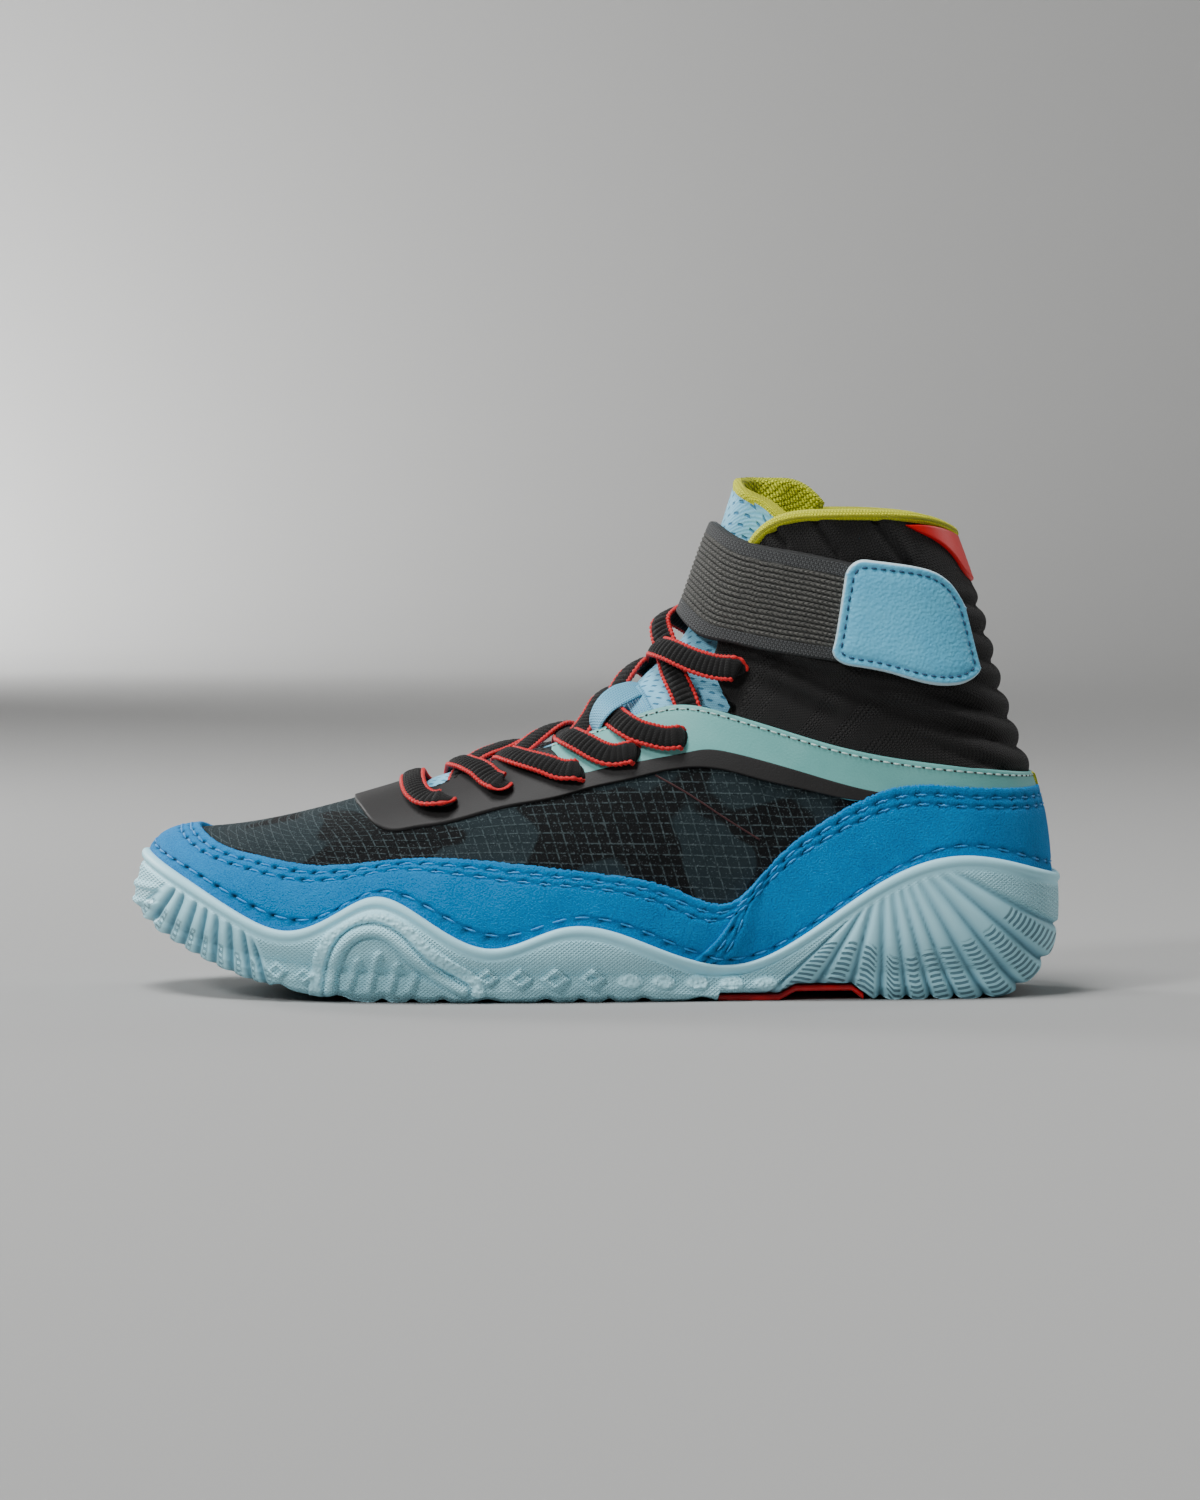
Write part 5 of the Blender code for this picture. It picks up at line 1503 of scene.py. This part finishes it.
# %% Lace keeper
# Loop and sewn tail: x, y, z, then the way the face looks
KEEPER_LOOP = (((3.2, -10.0, 79.6), (-0.5, -0.1, -0.8)), ((1.2, -13.0, 80.9), (-0.9, -0.1, -0.4)),
               ((0.0, -15.0, 84.2), (-0.9, -0.4, 0.1)), ((1.4, -16.5, 88.2), (-0.7, -0.55, 0.4)),
               ((5.0, -15.0, 92.1), (-0.42, -0.74, 0.5)), ((9.2, -12.5, 94.6), (-0.35, -0.8, 0.48)),
               ((12.4, -9.0, 95.4), (-0.32, -0.8, 0.5)), ((15.4, -5.0, 94.6), (-0.32, -0.8, 0.5)))
KEEPER_TAIL = (((11.4, -8.0, 95.0), (-0.3, -0.8, 0.5)), ((13.3, -13.0, 91.6), (-0.3, -0.8, 0.5)),
               ((15.0, -17.2, 88.4), (-0.25, -0.85, 0.45)), ((16.8, -20.0, 85.0), (-0.2, -0.9, 0.4)))
KEEPER_WIDTH, TAIL_WIDTH, KEEPER_THICK = 8.8, 6.5, 1.1
WEB_TURNS = np.linspace(0, 2 * math.pi, 24, endpoint=False)


def make_webbing():
    made, tree, shader = new_finish("keeper_webbing", 0.6, sheen_weight=0.08)
    across, _ = sheet_place(tree)
    rib = sums(tree, "PINGPONG", sums(tree, "DIVIDE", across, 0.9), 0.5)
    threads = effect(tree, WEAVE, pitch=0.5)
    cloth = sums(tree, "ADD", rib, times(tree, threads, 0.5))
    shade = mix(tree, cloth, paint(72, 166, 214), paint(142, 216, 242))
    dress(tree, shader, shade, cloth, 0.6)
    return made


def web_rings(rows, width):
    """Rings of a flat ribbon through points with given faces."""
    path, run = path_through([point for point, _ in rows], 0.4)
    at = path_run(np.array([point for point, _ in rows]))
    looks = np.array([look for _, look in rows])
    out = np.stack([np.interp(run / run[-1] * at[-1], at, looks[:, axis]) for axis in range(3)], axis=-1)
    aside, face = ribbon_frame(path, unit(out))
    wide = boxy(np.cos(WEB_TURNS), 0.5) * width / 2
    tall = boxy(np.sin(WEB_TURNS), 0.4) * KEEPER_THICK / 2
    return path[:, None] + wide[:, None] * aside[:, None] + tall[:, None] * face[:, None]


keeper_rings = [web_rings(KEEPER_LOOP, KEEPER_WIDTH), web_rings(KEEPER_TAIL, TAIL_WIDTH)]
keeper = loops_piece("keeper_loop", keeper_rings, make_webbing())
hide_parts("lace_keeper")
print("keeper faces:", len(keeper.data.polygons))

# %% [markdown]
# ## Rubber sole
# The sole is one moulding: a rolled lip under the suede, fans of ribs at heel and toe, an arch, bars,
# lozenges and ovals on the side, and small lugs along the ground. Sculpting could draw all that, but here
# each form is a short formula of the side view, added up as a relief on a fine wall. Slots and pebbles
# smaller than the mesh are masks that the material turns into bump; the slots and the hollows of the
# relief are also painted darker, as shade.

# %% Rubber wall
GROUND = (
    (-145.0, 30.0), (-140.0, 22.8), (-135.0, 18.5), (-127.0, 14.3), (-118.0, 10.2), (-108.0, 6.6),
    (-96.0, 3.6), (-83.0, 1.2), (-70.0, 0.0), (124.0, 0.0), (131.5, 1.6), (137.5, 5.8), (142.0, 12.0),
    (145.0, 22.0))
NOTCH = ((37.6, -1.0), (37.9, 2.4), (57.0, 2.4), (62.1, 5.2), (79.9, 5.2), (87.0, -0.4))
# Lip: distance outside the upper and drop below the rim
LIP = ((1.4, 0.6), (1.5, 0.1), (1.9, -0.15), (2.6, -0.25), (3.3, -0.1), (3.8, 0.35), (4.05, 0.95), (4.1, 1.6),
       (4.0, 2.15), (3.7, 2.55), (3.4, 2.85), (3.35, 3.2))
# Wall under the lip: share of the height and distance outside the upper
WALL = ((0.0, 3.4), (0.05, 3.9), (0.25, 4.4), (0.5, 5.1), (0.74, 5.3), (0.9, 4.3), (1.0, 1.4))
SWELL = ((-140.0, 1.6), (-110.0, 1.0), (95.0, 1.0), (135.0, 0.2))
SOLE_HALF, SOLE_ROWS, SHELL_LEVELS = 560, 56, 12


def wall_points(shell, out, z, reach):
    """Points at heights z, a distance outside the shell, for every column."""
    row = np.zeros(z.shape + (3,))
    for column in range(shell.shape[1]):
        levels = shell[:, column, 2]
        for axis in (0, 1):
            base = np.interp(z[:, column], levels, shell[:, column, axis])
            away = np.interp(z[:, column], levels, out[:, column, axis])
            row[:, column, axis] = base + away * reach[:, column]
    row[:, :, 2] = z
    return row


def make_wall():
    """Plain wall of the sole without relief, its outward directions and the share of the way down."""
    share = np.linspace(0, 1, SOLE_HALF + 1)
    levels = np.linspace(0, 1, SHELL_LEVELS)[:, None]
    shell = both_sides(blend(on_line("feather", share), on_line("rim", share), levels), "ring")
    out = normals(shell, True)
    out[:, :, 2] = 0
    out = unit(out)
    rim_z = shell[-1, :, 2]
    foot_x = shell[0, :, 0] + out[0, :, 0] * WALL[-1][1]
    floor_z = np.maximum(straight(GROUND)(foot_x), straight(NOTCH)(foot_x))
    lip = np.array(LIP)
    down = np.linspace(0, 1, SOLE_ROWS)[:, None] ** 0.9
    lip_z = rim_z - lip[:, 1:]
    wall_z = lip_z[-1] - 0.4 + (floor_z - lip_z[-1] + 0.4) * down
    bulge = np.interp(down, *np.array(WALL).T)
    bulge = bulge + np.maximum(bulge - WALL[0][1], 0) * (straight(SWELL)(foot_x) - 1)
    reach = np.concatenate([lip[:, :1] + np.zeros_like(lip_z), bulge])
    z = np.concatenate([lip_z, wall_z])
    share_down = np.concatenate([np.zeros((len(lip), 1)), down]) + np.zeros_like(z)
    facing = np.broadcast_to(out[SHELL_LEVELS // 2], z.shape + (3,))
    return wall_points(shell, out, z, reach), facing, share_down


sole_wall, sole_out, sole_down = make_wall()
print("wall of the sole, rows by columns:", sole_wall.shape[:2])

# %% Ribs at heel and toe
HEEL_TOPS = (
    (82.3, 29.3), (83.7, 31.0), (85.5, 33.2), (87.7, 34.2), (90.3, 36.1), (92.8, 37.5), (95.0, 38.6),
    (97.2, 39.7), (100.1, 40.4), (103.1, 41.5), (106.7, 41.7), (112.0, 42.5), (120.0, 43.0))
HEEL_FEET = (
    (57.0, 10.5), (66.0, 9.5), (75.6, 7.9), (83.7, 5.4), (93.2, -2.9), (101.4, -3.6), (108.8, -1.2),
    (116.0, -0.2), (126.4, 2.0), (136.1, 7.7), (143.7, 16.2), (150.0, 27.0), (156.0, 38.0))
TOE_TOPS = (
    (-134.0, 37.2), (-130.3, 35.4), (-127.7, 34.6), (-123.6, 32.4), (-120.3, 31.3), (-117.4, 28.7),
    (-113.5, 26.8), (-109.2, 24.2), (-106.4, 20.8), (-103.0, 18.0))
TOE_FEET = (
    (-146.0, 26.5), (-140.5, 21.9), (-135.6, 16.9), (-130.3, 14.1), (-125.0, 11.3), (-119.3, 8.5),
    (-113.3, 6.0), (-106.9, 4.3), (-102.0, 2.9), (-96.0, 2.0))
RIB_DEPTH, TOE_DEPTH = 2.1, 1.9
HEEL_FROM, TOE_UNTIL = 40, -90


def fan(x, z, feet, tops):
    """Number of the rib, offset from its middle, share up along it and millimetres up along it."""
    feet, tops = np.array(feet), np.array(tops)
    number, up = fan_place(x.reshape(-1), z.reshape(-1), feet, tops, np.arange(len(feet)) - 1.0)
    long = np.interp(number, np.arange(len(feet)) - 1.0, np.linalg.norm(tops - feet, axis=1))
    return [values.reshape(x.shape) for values in (number, number - np.round(number), up, up * long)]


def heel_ribs(x, z, under_lip):
    """Fan of ribs at the heel: where it is, its relief, its slots and the run along them."""
    number, off, up, run = fan(x, z, HEEL_FEET, HEEL_TOPS)
    inside = smooth_step(number, -0.55, -0.45) * (1 - smooth_step(number, 9.45, 9.6)) * (x > HEEL_FROM)
    sharp = 1.1 + 3.4 * np.clip(1 - up, 0, 1) ** 1.5
    rib = 1 - np.abs(2 * off) ** sharp
    depth = RIB_DEPTH * (0.25 + 0.75 * np.clip(1 - up, 0, 1) ** 0.7)
    heel = inside * under_lip
    slots = heel * (np.abs(off) < 0.25) * (1 - smooth_step(up, 0.4, 0.44))
    return heel, heel * depth * (rib - 1), slots, np.where(heel > 0.5, run, 0.0)


def toe_ribs(x, z, under_lip):
    """Fan of ribs at the toe: where it is, the depth of its grooves, its slots and the run along them."""
    number, off, up, run = fan(x, z, TOE_FEET, TOE_TOPS)
    inside = smooth_step(number, -0.9, -0.7) * (1 - smooth_step(number, 7.5, 7.8))
    toe = inside * (x < TOE_UNTIL) * under_lip
    groove = np.exp(-(off / 0.15) ** 2) + 0.3 * np.clip(1 - np.abs(off - 0.2) / 0.5, 0, 1) ** 2
    slots = toe * (np.abs(np.abs(off) - 0.46) < 0.1) * (1 - smooth_step(up, 0.42, 0.5))
    return toe, toe * TOE_DEPTH * groove * smooth_step(1.02 - up, 0.0, 0.3), slots, run


print("lines in the fans of heel and toe:", len(HEEL_TOPS), "and", len(TOE_TOPS))

# %% Arch and small forms
# Moulded line in side view: an arch that follows the wave of the rim
ARCH_LINE = (
    (-81.8, 2.4), (-80.2, 12.3), (-75.8, 20.0), (-68.1, 22.7), (-61.5, 20.0), (-54.9, 13.3), (-47.2, 7.8),
    (-40.6, 4.0))
ARCH_BAND = (2.8, 6.4)
# Plain lozenges: x, z, reach along and up
LOZENGES = (
    (-98.0, 9.6, 3.4, 3.6), (-89.6, 8.2, 3.0, 3.2), (-33.0, 8.0, 3.8, 3.2), (-23.2, 7.6, 4.4, 3.6),
    (-12.2, 7.4, 5.0, 4.0), (-0.8, 7.6, 4.4, 3.6))
# Leaning bars under the arch: x and z of the lower and of the upper end
BARS = ((-76.2, 4.2, -73.0, 13.2), (-69.8, 4.0, -66.6, 15.4), (-63.4, 4.0, -60.8, 12.0),
        (-57.2, 3.8, -55.4, 8.2))
# Pebbled ovals in an even row: x, z, reach along and up
PATCHES = tuple((11.0 + 10.5 * step, 6.6 - 0.3 * step, 4.2, 2.5) for step in range(5))
# Heights and half widths of the forms; each lozenge has a dish in its middle
RIDGE_TALL, RIDGE_HALF, BAND_TALL = 1.8, 1.6, 1.0
MOAT_DEEP, MOAT_AT, MOAT_HALF = 0.5, 2.3, 0.5
BAR_TALL, BAR_HALF = 1.5, 1.2
LOZENGE_TALL, DISH_DEEP, PATCH_TALL = 1.5, 0.8, 0.8
FORM_EDGE, DISH_EDGE = (0.7, 1.05), (0.3, 0.55)


def line_distance(x, z, line):
    """Distance of points from a line in side view: above 0 on its upper side, 99 where it is far away."""
    at = np.stack(side_curve(line)(np.linspace(0, 1, 120)), axis=-1)
    way = unit(np.gradient(at, axis=0))
    close = (x > at[:, 0].min() - 9) & (x < at[:, 0].max() + 9)
    off = np.stack([x[close], z[close]], axis=-1)[:, None] - at[None]
    far = np.linalg.norm(off, axis=2)
    near = far.argmin(axis=1)
    each = np.arange(len(near))
    above = way[near, 0] * off[each, near, 1] - way[near, 1] * off[each, near, 0]
    result = np.full(x.shape, 99.0)
    result[close] = np.where(above < 0, -1, 1) * far[each, near]
    return result


def add_arch(relief, x, z, under_lip):
    """Relief with the arch's ridge, the band above it and the moat between, and the pebbles on them."""
    arch = line_distance(x, z, ARCH_LINE)
    band = smooth_step(arch, ARCH_BAND[0] - 0.4, ARCH_BAND[0] + 0.2)
    band = band * (1 - smooth_step(arch, ARCH_BAND[1] - 0.2, ARCH_BAND[1] + 0.4)) * under_lip
    ridge = np.exp(-(arch / RIDGE_HALF) ** 4) * under_lip
    relief = relief + RIDGE_TALL * ridge + BAND_TALL * band
    relief = relief - MOAT_DEEP * np.exp(-((np.abs(arch) - MOAT_AT) / MOAT_HALF) ** 2) * under_lip
    return relief, np.maximum(0.8 * band, 0.25 * ridge)


def add_forms(relief, pebble, x, z):
    """Relief with the bars, the lozenges and the ovals, and the pebbles with those of the ovals."""
    for low_x, low_z, top_x, top_z in BARS:
        long = math.hypot(top_x - low_x, top_z - low_z)
        along = ((x - low_x) * (top_x - low_x) + (z - low_z) * (top_z - low_z)) / long
        aside = ((x - low_x) * (top_z - low_z) - (z - low_z) * (top_x - low_x)) / long
        past = np.maximum(np.maximum(-along, along - long), 0)
        relief = relief + BAR_TALL * np.exp(-(np.hypot(aside, past) / BAR_HALF) ** 4)
    for lozenge_x, lozenge_z, wide, tall in LOZENGES:
        reach = np.abs(x - lozenge_x) / wide + np.abs(z - lozenge_z) / tall
        relief = relief + LOZENGE_TALL * (1 - smooth_step(reach, *FORM_EDGE))
        relief = relief - DISH_DEEP * (1 - smooth_step(reach, *DISH_EDGE))
    for patch_x, patch_z, wide, tall in PATCHES:
        reach = np.hypot((x - patch_x) / wide, (z - patch_z) / tall)
        patch = 1 - smooth_step(reach, *FORM_EDGE)
        relief = relief + PATCH_TALL * patch
        pebble = np.maximum(pebble, patch)
    return relief, pebble


print("small forms on each side:", len(BARS) + len(LOZENGES) + len(PATCHES))

# %% Relief of the sole
KNOB_TALL = 0.9
LUG_PITCH, LUG_FROM, LUG_UNTIL, LUG_GAP = 12.5, -100, 37, 1.2


def sole_relief(x, z, down):
    """Height of the moulded forms, and masks of the slots, the pebbles and the fine lines."""
    under_lip = smooth_step(down, 0.0, 0.06)
    heel, relief, slots, slot_run = heel_ribs(x, z, under_lip)
    toe, grooves, toe_slots, toe_run = toe_ribs(x, z, under_lip)
    relief = relief - grooves
    slots = np.maximum(slots, 0.8 * toe_slots)
    slot_run = np.where(toe_slots > 0.1, toe_run, slot_run)
    relief, pebble = add_arch(relief, x, z, under_lip)
    relief, pebble = add_forms(relief, pebble, x, z)
    knob = np.maximum(0, np.sin(z * 1.15 + 0.6)) * smooth_step(-x, 134.0, 139.0)
    relief = relief + KNOB_TALL * knob * smooth_step(down, 0.08, 0.2)
    plain = under_lip * (1 - heel) * (1 - toe) * (1 - np.clip(pebble * 1.4, 0, 1))
    return relief, slots, slot_run, pebble, plain


def foot_lift(x, z, down):
    """How far the lower edge rises between ribs and between lugs."""
    number, off, _, _ = fan(x, z, HEEL_FEET, HEEL_TOPS)
    heel = smooth_step(number, 1.6, 2.4) * (x > 84)
    gap = heel * np.abs(2 * off) ** 3 * 1.6
    turns = x / LUG_PITCH + 0.3 * np.sin(x / 9)
    lug = (x > LUG_FROM) * (x < LUG_UNTIL) * (0.5 - 0.5 * np.cos(2 * math.pi * turns)) ** 3
    return (gap + LUG_GAP * lug) * smooth_step(down, 0.72, 1.0)


relief, slots, slot_run, pebble, plain = sole_relief(sole_wall[:, :, 0], sole_wall[:, :, 2], sole_down)
sole_grid = sole_wall + sole_out * relief[:, :, None]
sole_grid[:, :, 2] += foot_lift(sole_wall[:, :, 0], sole_wall[:, :, 2], sole_down)
print("relief of the sole in mm:", round(relief.min(), 2), "to", round(relief.max(), 2))


# %% Sole mesh
PEBBLE_SIZE = 1.15


def make_rubber():
    made, tree, shader = new_finish("sole_rubber", 0.5, shine=0.4)
    wave = sums(tree, "SINE", times(tree, stored(tree, "slot_run"), 2 * math.pi / 1.8))
    cut = times(tree, ramp(tree, wave, -0.1, 0.25), stored(tree, "slots"))
    place = add(tree, "ShaderNodeTexCoord").outputs["Object"]
    grain = {"Vector": place, "Scale": 1 / (PEBBLE_SIZE * MM)}
    cells = add(tree, "ShaderNodeTexVoronoi", grain, feature="SMOOTH_F1")
    bump = sums(tree, "SUBTRACT", 1.0, cells.outputs["Distance"])
    stones = times(tree, bump, stored(tree, "pebble"))
    parts = add(tree, "ShaderNodeSeparateXYZ", {0: place})
    combs = []
    for slope in (1.3, -1.3):
        lean = sums(tree, "MULTIPLY_ADD", parts.outputs["Z"], slope, parts.outputs["X"])
        combs.append(sums(tree, "SINE", times(tree, lean, 2 * math.pi / (1.5 * MM))))
    lines = times(tree, sums(tree, "MAXIMUM", *combs), stored(tree, "plain"))
    dye = effect(tree, UNEVEN, size=16.0, contrast=1.0)
    shade = mix(tree, dye, paint(168, 231, 247), paint(184, 240, 253))
    # Hollows of the relief and the slots are painted darker, as shade.
    deep = mix(tree, stored(tree, "hollow_shade"), shade, paint(70, 128, 150))
    slot = mix(tree, times(tree, cut, 0.75), deep, paint(38, 84, 106))
    lit = mix(tree, times(tree, stones, 0.35), slot, paint(190, 230, 238))
    height_sum = sums(tree, "MULTIPLY_ADD", stones, 1.7, times(tree, lines, 0.5))
    dress(tree, shader, lit, sums(tree, "MULTIPLY_ADD", cut, -1.2, height_sum), 0.5)
    return made


def cap_faces(columns, base):
    """Strips that join the two sides of the last row of a ring."""
    step = np.arange(1, columns // 2 - 1)
    far = columns - step
    return (np.stack([step, step + 1, far - 1, far], axis=-1) + base)[:, ::-1]


rows, columns = sole_grid.shape[:2]
sole_side = grid_faces(rows, columns, True)
sole_floor = cap_faces(columns, (rows - 1) * columns)
sole_faces = np.concatenate([sole_side, sole_floor])[:, ::-1]
sole = new_piece("sole", sole_grid.reshape(-1, 3), sole_faces, [make_rubber()])
# Painted shade for the hollows: the deeper the hollow, the darker.
hollow_shade = np.clip(-relief / 1.9, 0, 0.8)
for label, values in (("slots", slots), ("slot_run", slot_run), ("pebble", pebble), ("plain", plain),
                      ("hollow_shade", hollow_shade)):
    store(sole, label, values)
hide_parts("outsole")
print("sole faces:", len(sole.data.polygons))

# %% [markdown]
# ## Arch plate and insole
# A red moulded plate bridges a notch under the arch, and a sock liner lies inside. The plate is an
# outline in side view carried across the shoe, with its long edges rounded; the liner is the feather edge
# filled in with rings that dip a little towards the middle.

# %% Arch plate
PLATE_TOP = ((38.3, 2.1), (57.1, 2.1), (62.2, 4.9), (79.8, 4.9), (83.4, 2.1))
PLATE_OUTER = ((38.3, -36.4), (57.0, -35.2), (68.0, -33.2), (83.4, -31.4))
PLATE_INNER, PLATE_THICK = 29.5, 2.4


def make_red_plastic():
    made, tree, shader = new_finish("red_plastic", 0.35, shine=0.5)
    dye = effect(tree, UNEVEN, size=6.0, contrast=1.0)
    dress(tree, shader, mix(tree, dye, paint(186, 6, 18), paint(218, 18, 28)), dye, 0.1)
    return made


run_x = [np.linspace(a[0], b[0], 9)[:-1] for a, b in zip(PLATE_TOP, PLATE_TOP[1:])]
run_x = np.concatenate(run_x + [[PLATE_TOP[-1][0]]])
run_z = straight(PLATE_TOP)(run_x)
plate_turns = np.linspace(0, 2 * math.pi, 40, endpoint=False)
outer_y = straight(PLATE_OUTER)(run_x)[:, None]
middle_y, half_y = (PLATE_INNER + outer_y) / 2, (PLATE_INNER - outer_y) / 2
round_y = boxy(np.cos(plate_turns), 0.15)
round_z = boxy(np.sin(plate_turns), 0.35) * PLATE_THICK / 2
plate_rings = np.stack(np.broadcast_arrays(run_x[:, None], middle_y + half_y * round_y,
                                           (run_z - PLATE_THICK / 2)[:, None] + round_z), axis=-1)
plate = loops_piece("plate", [plate_rings], make_red_plastic())
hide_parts("arch_plate")
print("plate length in mm:", round(run_x[-1] - run_x[0], 1))

# %% Insole
INSOLE_THICK, INSOLE_CLEAR = 3.5, 0.6
INSOLE_RINGS = np.array([1.0, 0.995, 0.975, 0.93, 0.85, 0.75, 0.6, 0.45, 0.3, 0.15, 0.03])
INSOLE_CUP = 1.2


def make_insole_cloth():
    made, tree, shader = new_finish("insole_cloth", 0.9, sheen_weight=0.2)
    threads = effect(tree, UNEVEN, size=0.7, contrast=2.0)
    dress(tree, shader, mix(tree, threads, paint(150, 158, 10), paint(204, 214, 24)), threads, 0.25)
    return made


share = np.linspace(0, 1, 141)
low_rows = np.array([0.0, 0.05])[:, None]
edge = both_sides(blend(on_line("feather", share), on_line("rim", share), low_rows), "ring")
edge_out = normals(edge, True)[0]
edge_out[:, 2] = 0
edge_in = edge[0] - unit(edge_out) * (FOOT_WALL + INSOLE_CLEAR)
spine_y = (edge_in[:, 1] + np.roll(edge_in[::-1, 1], 1)) / 2
insole_rows = []
for ring in INSOLE_RINGS:
    row = edge_in.copy()
    row[:, 1] = spine_y + (edge_in[:, 1] - spine_y) * ring
    row[:, 0] = edge_in[:, 0] + (np.clip(edge_in[:, 0], -125, 128) - edge_in[:, 0]) * (1 - ring)
    edge_drop = INSOLE_THICK * (1 - np.sqrt(1 - np.clip((ring - 0.93) / 0.07, 0, 1) ** 2))
    level = footbed(row[:, 0]) + FOOTBED_GAP + INSOLE_THICK
    row[:, 2] = level - edge_drop - INSOLE_CUP * 0.3 * (1 - ring ** 2)
    insole_rows.append(row)
insole_grid = np.stack(insole_rows)
rows, columns = insole_grid.shape[:2]
insole_faces = np.concatenate([grid_faces(rows, columns, True), cap_faces(columns, (rows - 1) * columns)])
insole_points = insole_grid.reshape(-1, 3)
insole = new_piece("sock_liner", insole_points, insole_faces, [make_insole_cloth()])
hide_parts("insole")
print("insole faces:", len(insole.data.polygons))

# %% [markdown]
# ## Floor, light and camera
# The floor is a wide shallow dish, so that the backdrop stays seamless from every side. A big soft light
# hangs over the shoe and a smaller one stands in front on the left. Two more brighten the backdrop and
# the floor on the left, one draws the right edge, and the world fills the shadows. The camera stands as
# the photographer's did: level with the shoe, a little above it, with a long lens.

# %% Floor
FLAT_RADIUS, WALL_RADIUS, WALL_HEIGHT = 2.6, 4.2, 3.6
FLOOR_TURNS = np.linspace(0, 2 * math.pi, 96, endpoint=False)


def make_floor():
    bend = np.linspace(0, math.pi / 2, 14)
    curve = WALL_RADIUS - FLAT_RADIUS
    radius = np.concatenate([[0.02, 0.4, 1.2], FLAT_RADIUS + curve * np.sin(bend), [WALL_RADIUS]])
    level = np.concatenate([[0.0, 0.0, 0.0], curve * (1 - np.cos(bend)), [WALL_HEIGHT]])
    ring = np.stack([np.cos(FLOOR_TURNS), np.sin(FLOOR_TURNS)], axis=-1)
    sides = len(FLOOR_TURNS)
    rings = radius[:, None, None] * ring[None]
    heights = np.broadcast_to(level[:, None, None], (len(radius), sides, 1))
    grid = np.concatenate([rings, heights], axis=-1)
    faces = grid_faces(len(radius), sides, True).tolist() + [list(range(sides))]
    mesh = bpy.data.meshes.new("studio_floor")
    mesh.from_pydata(grid.reshape(-1, 3).tolist(), [], faces)
    mesh.polygons.foreach_set("use_smooth", np.ones(len(mesh.polygons), bool))
    made, _, shader = new_finish("studio_paper", 0.9, shine=0.1)
    shader.inputs["Base Color"].default_value = (0.345, 0.345, 0.34, 1.0)
    mesh.materials.append(made)
    floor = bpy.data.objects.new("studio_floor", mesh)
    bpy.context.scene.collection.objects.link(floor)
    return floor


make_floor()


# %% Light and camera
def add_light(name, place, target, size, power, tint=(1.0, 1.0, 1.0)):
    """Square soft light that faces a target."""
    lamp = bpy.data.lights.new(name, "AREA")
    lamp.size = size
    lamp.energy = power
    lamp.color = tint
    holder = bpy.data.objects.new(name, lamp)
    holder.location = place
    way = np.array(target) - np.array(place)
    tilt = math.acos(-way[2] / np.linalg.norm(way))
    turn = math.atan2(way[1], way[0]) - math.pi / 2
    holder.rotation_euler = (tilt, 0, turn)
    bpy.context.scene.collection.objects.link(holder)
    return holder


add_light("overhead", (-0.5, -0.4, 2.0), (0, 0, 0), 0.8, 46)
add_light("front_left", (-1.4, -1.6, 1.6), (0, 0, 0.07), 0.45, 32)
add_light("backdrop_left", (-1.2, 2.7, 0.4), (-0.5, 3.6, 0.1), 0.5, 72)
add_light("floor_left", (-1.0, 0.9, 0.6), (-0.35, 0.6, 0.0), 0.4, 14)
add_light("rim_right", (1.9, 1.1, 1.2), (0.05, 0, 0.08), 0.7, 12)
world = bpy.data.worlds.new("studio_air")
world.use_nodes = True
world.node_tree.nodes["Background"].inputs["Color"].default_value = (1.0, 1.0, 1.0, 1.0)
world.node_tree.nodes["Background"].inputs["Strength"].default_value = 0.2
bpy.context.scene.world = world

CAMERA_PLACE = (0.0016, -1.8974, 0.1753)
CAMERA_TARGET = (0.0016, 0.0, 0.0759)
lens = bpy.data.cameras.new("camera")
lens.lens = 144.7
lens.sensor_width = 36.0
lens.clip_end = 30.0
camera = bpy.data.objects.new("camera", lens)
camera.location = CAMERA_PLACE
camera.rotation_euler = (math.pi / 2 - math.atan2(CAMERA_PLACE[2] - CAMERA_TARGET[2], -CAMERA_PLACE[1]), 0, 0)
bpy.context.scene.collection.objects.link(camera)
bpy.context.scene.camera = camera
print("camera distance in m:", round(math.dist(CAMERA_PLACE, CAMERA_TARGET), 3))
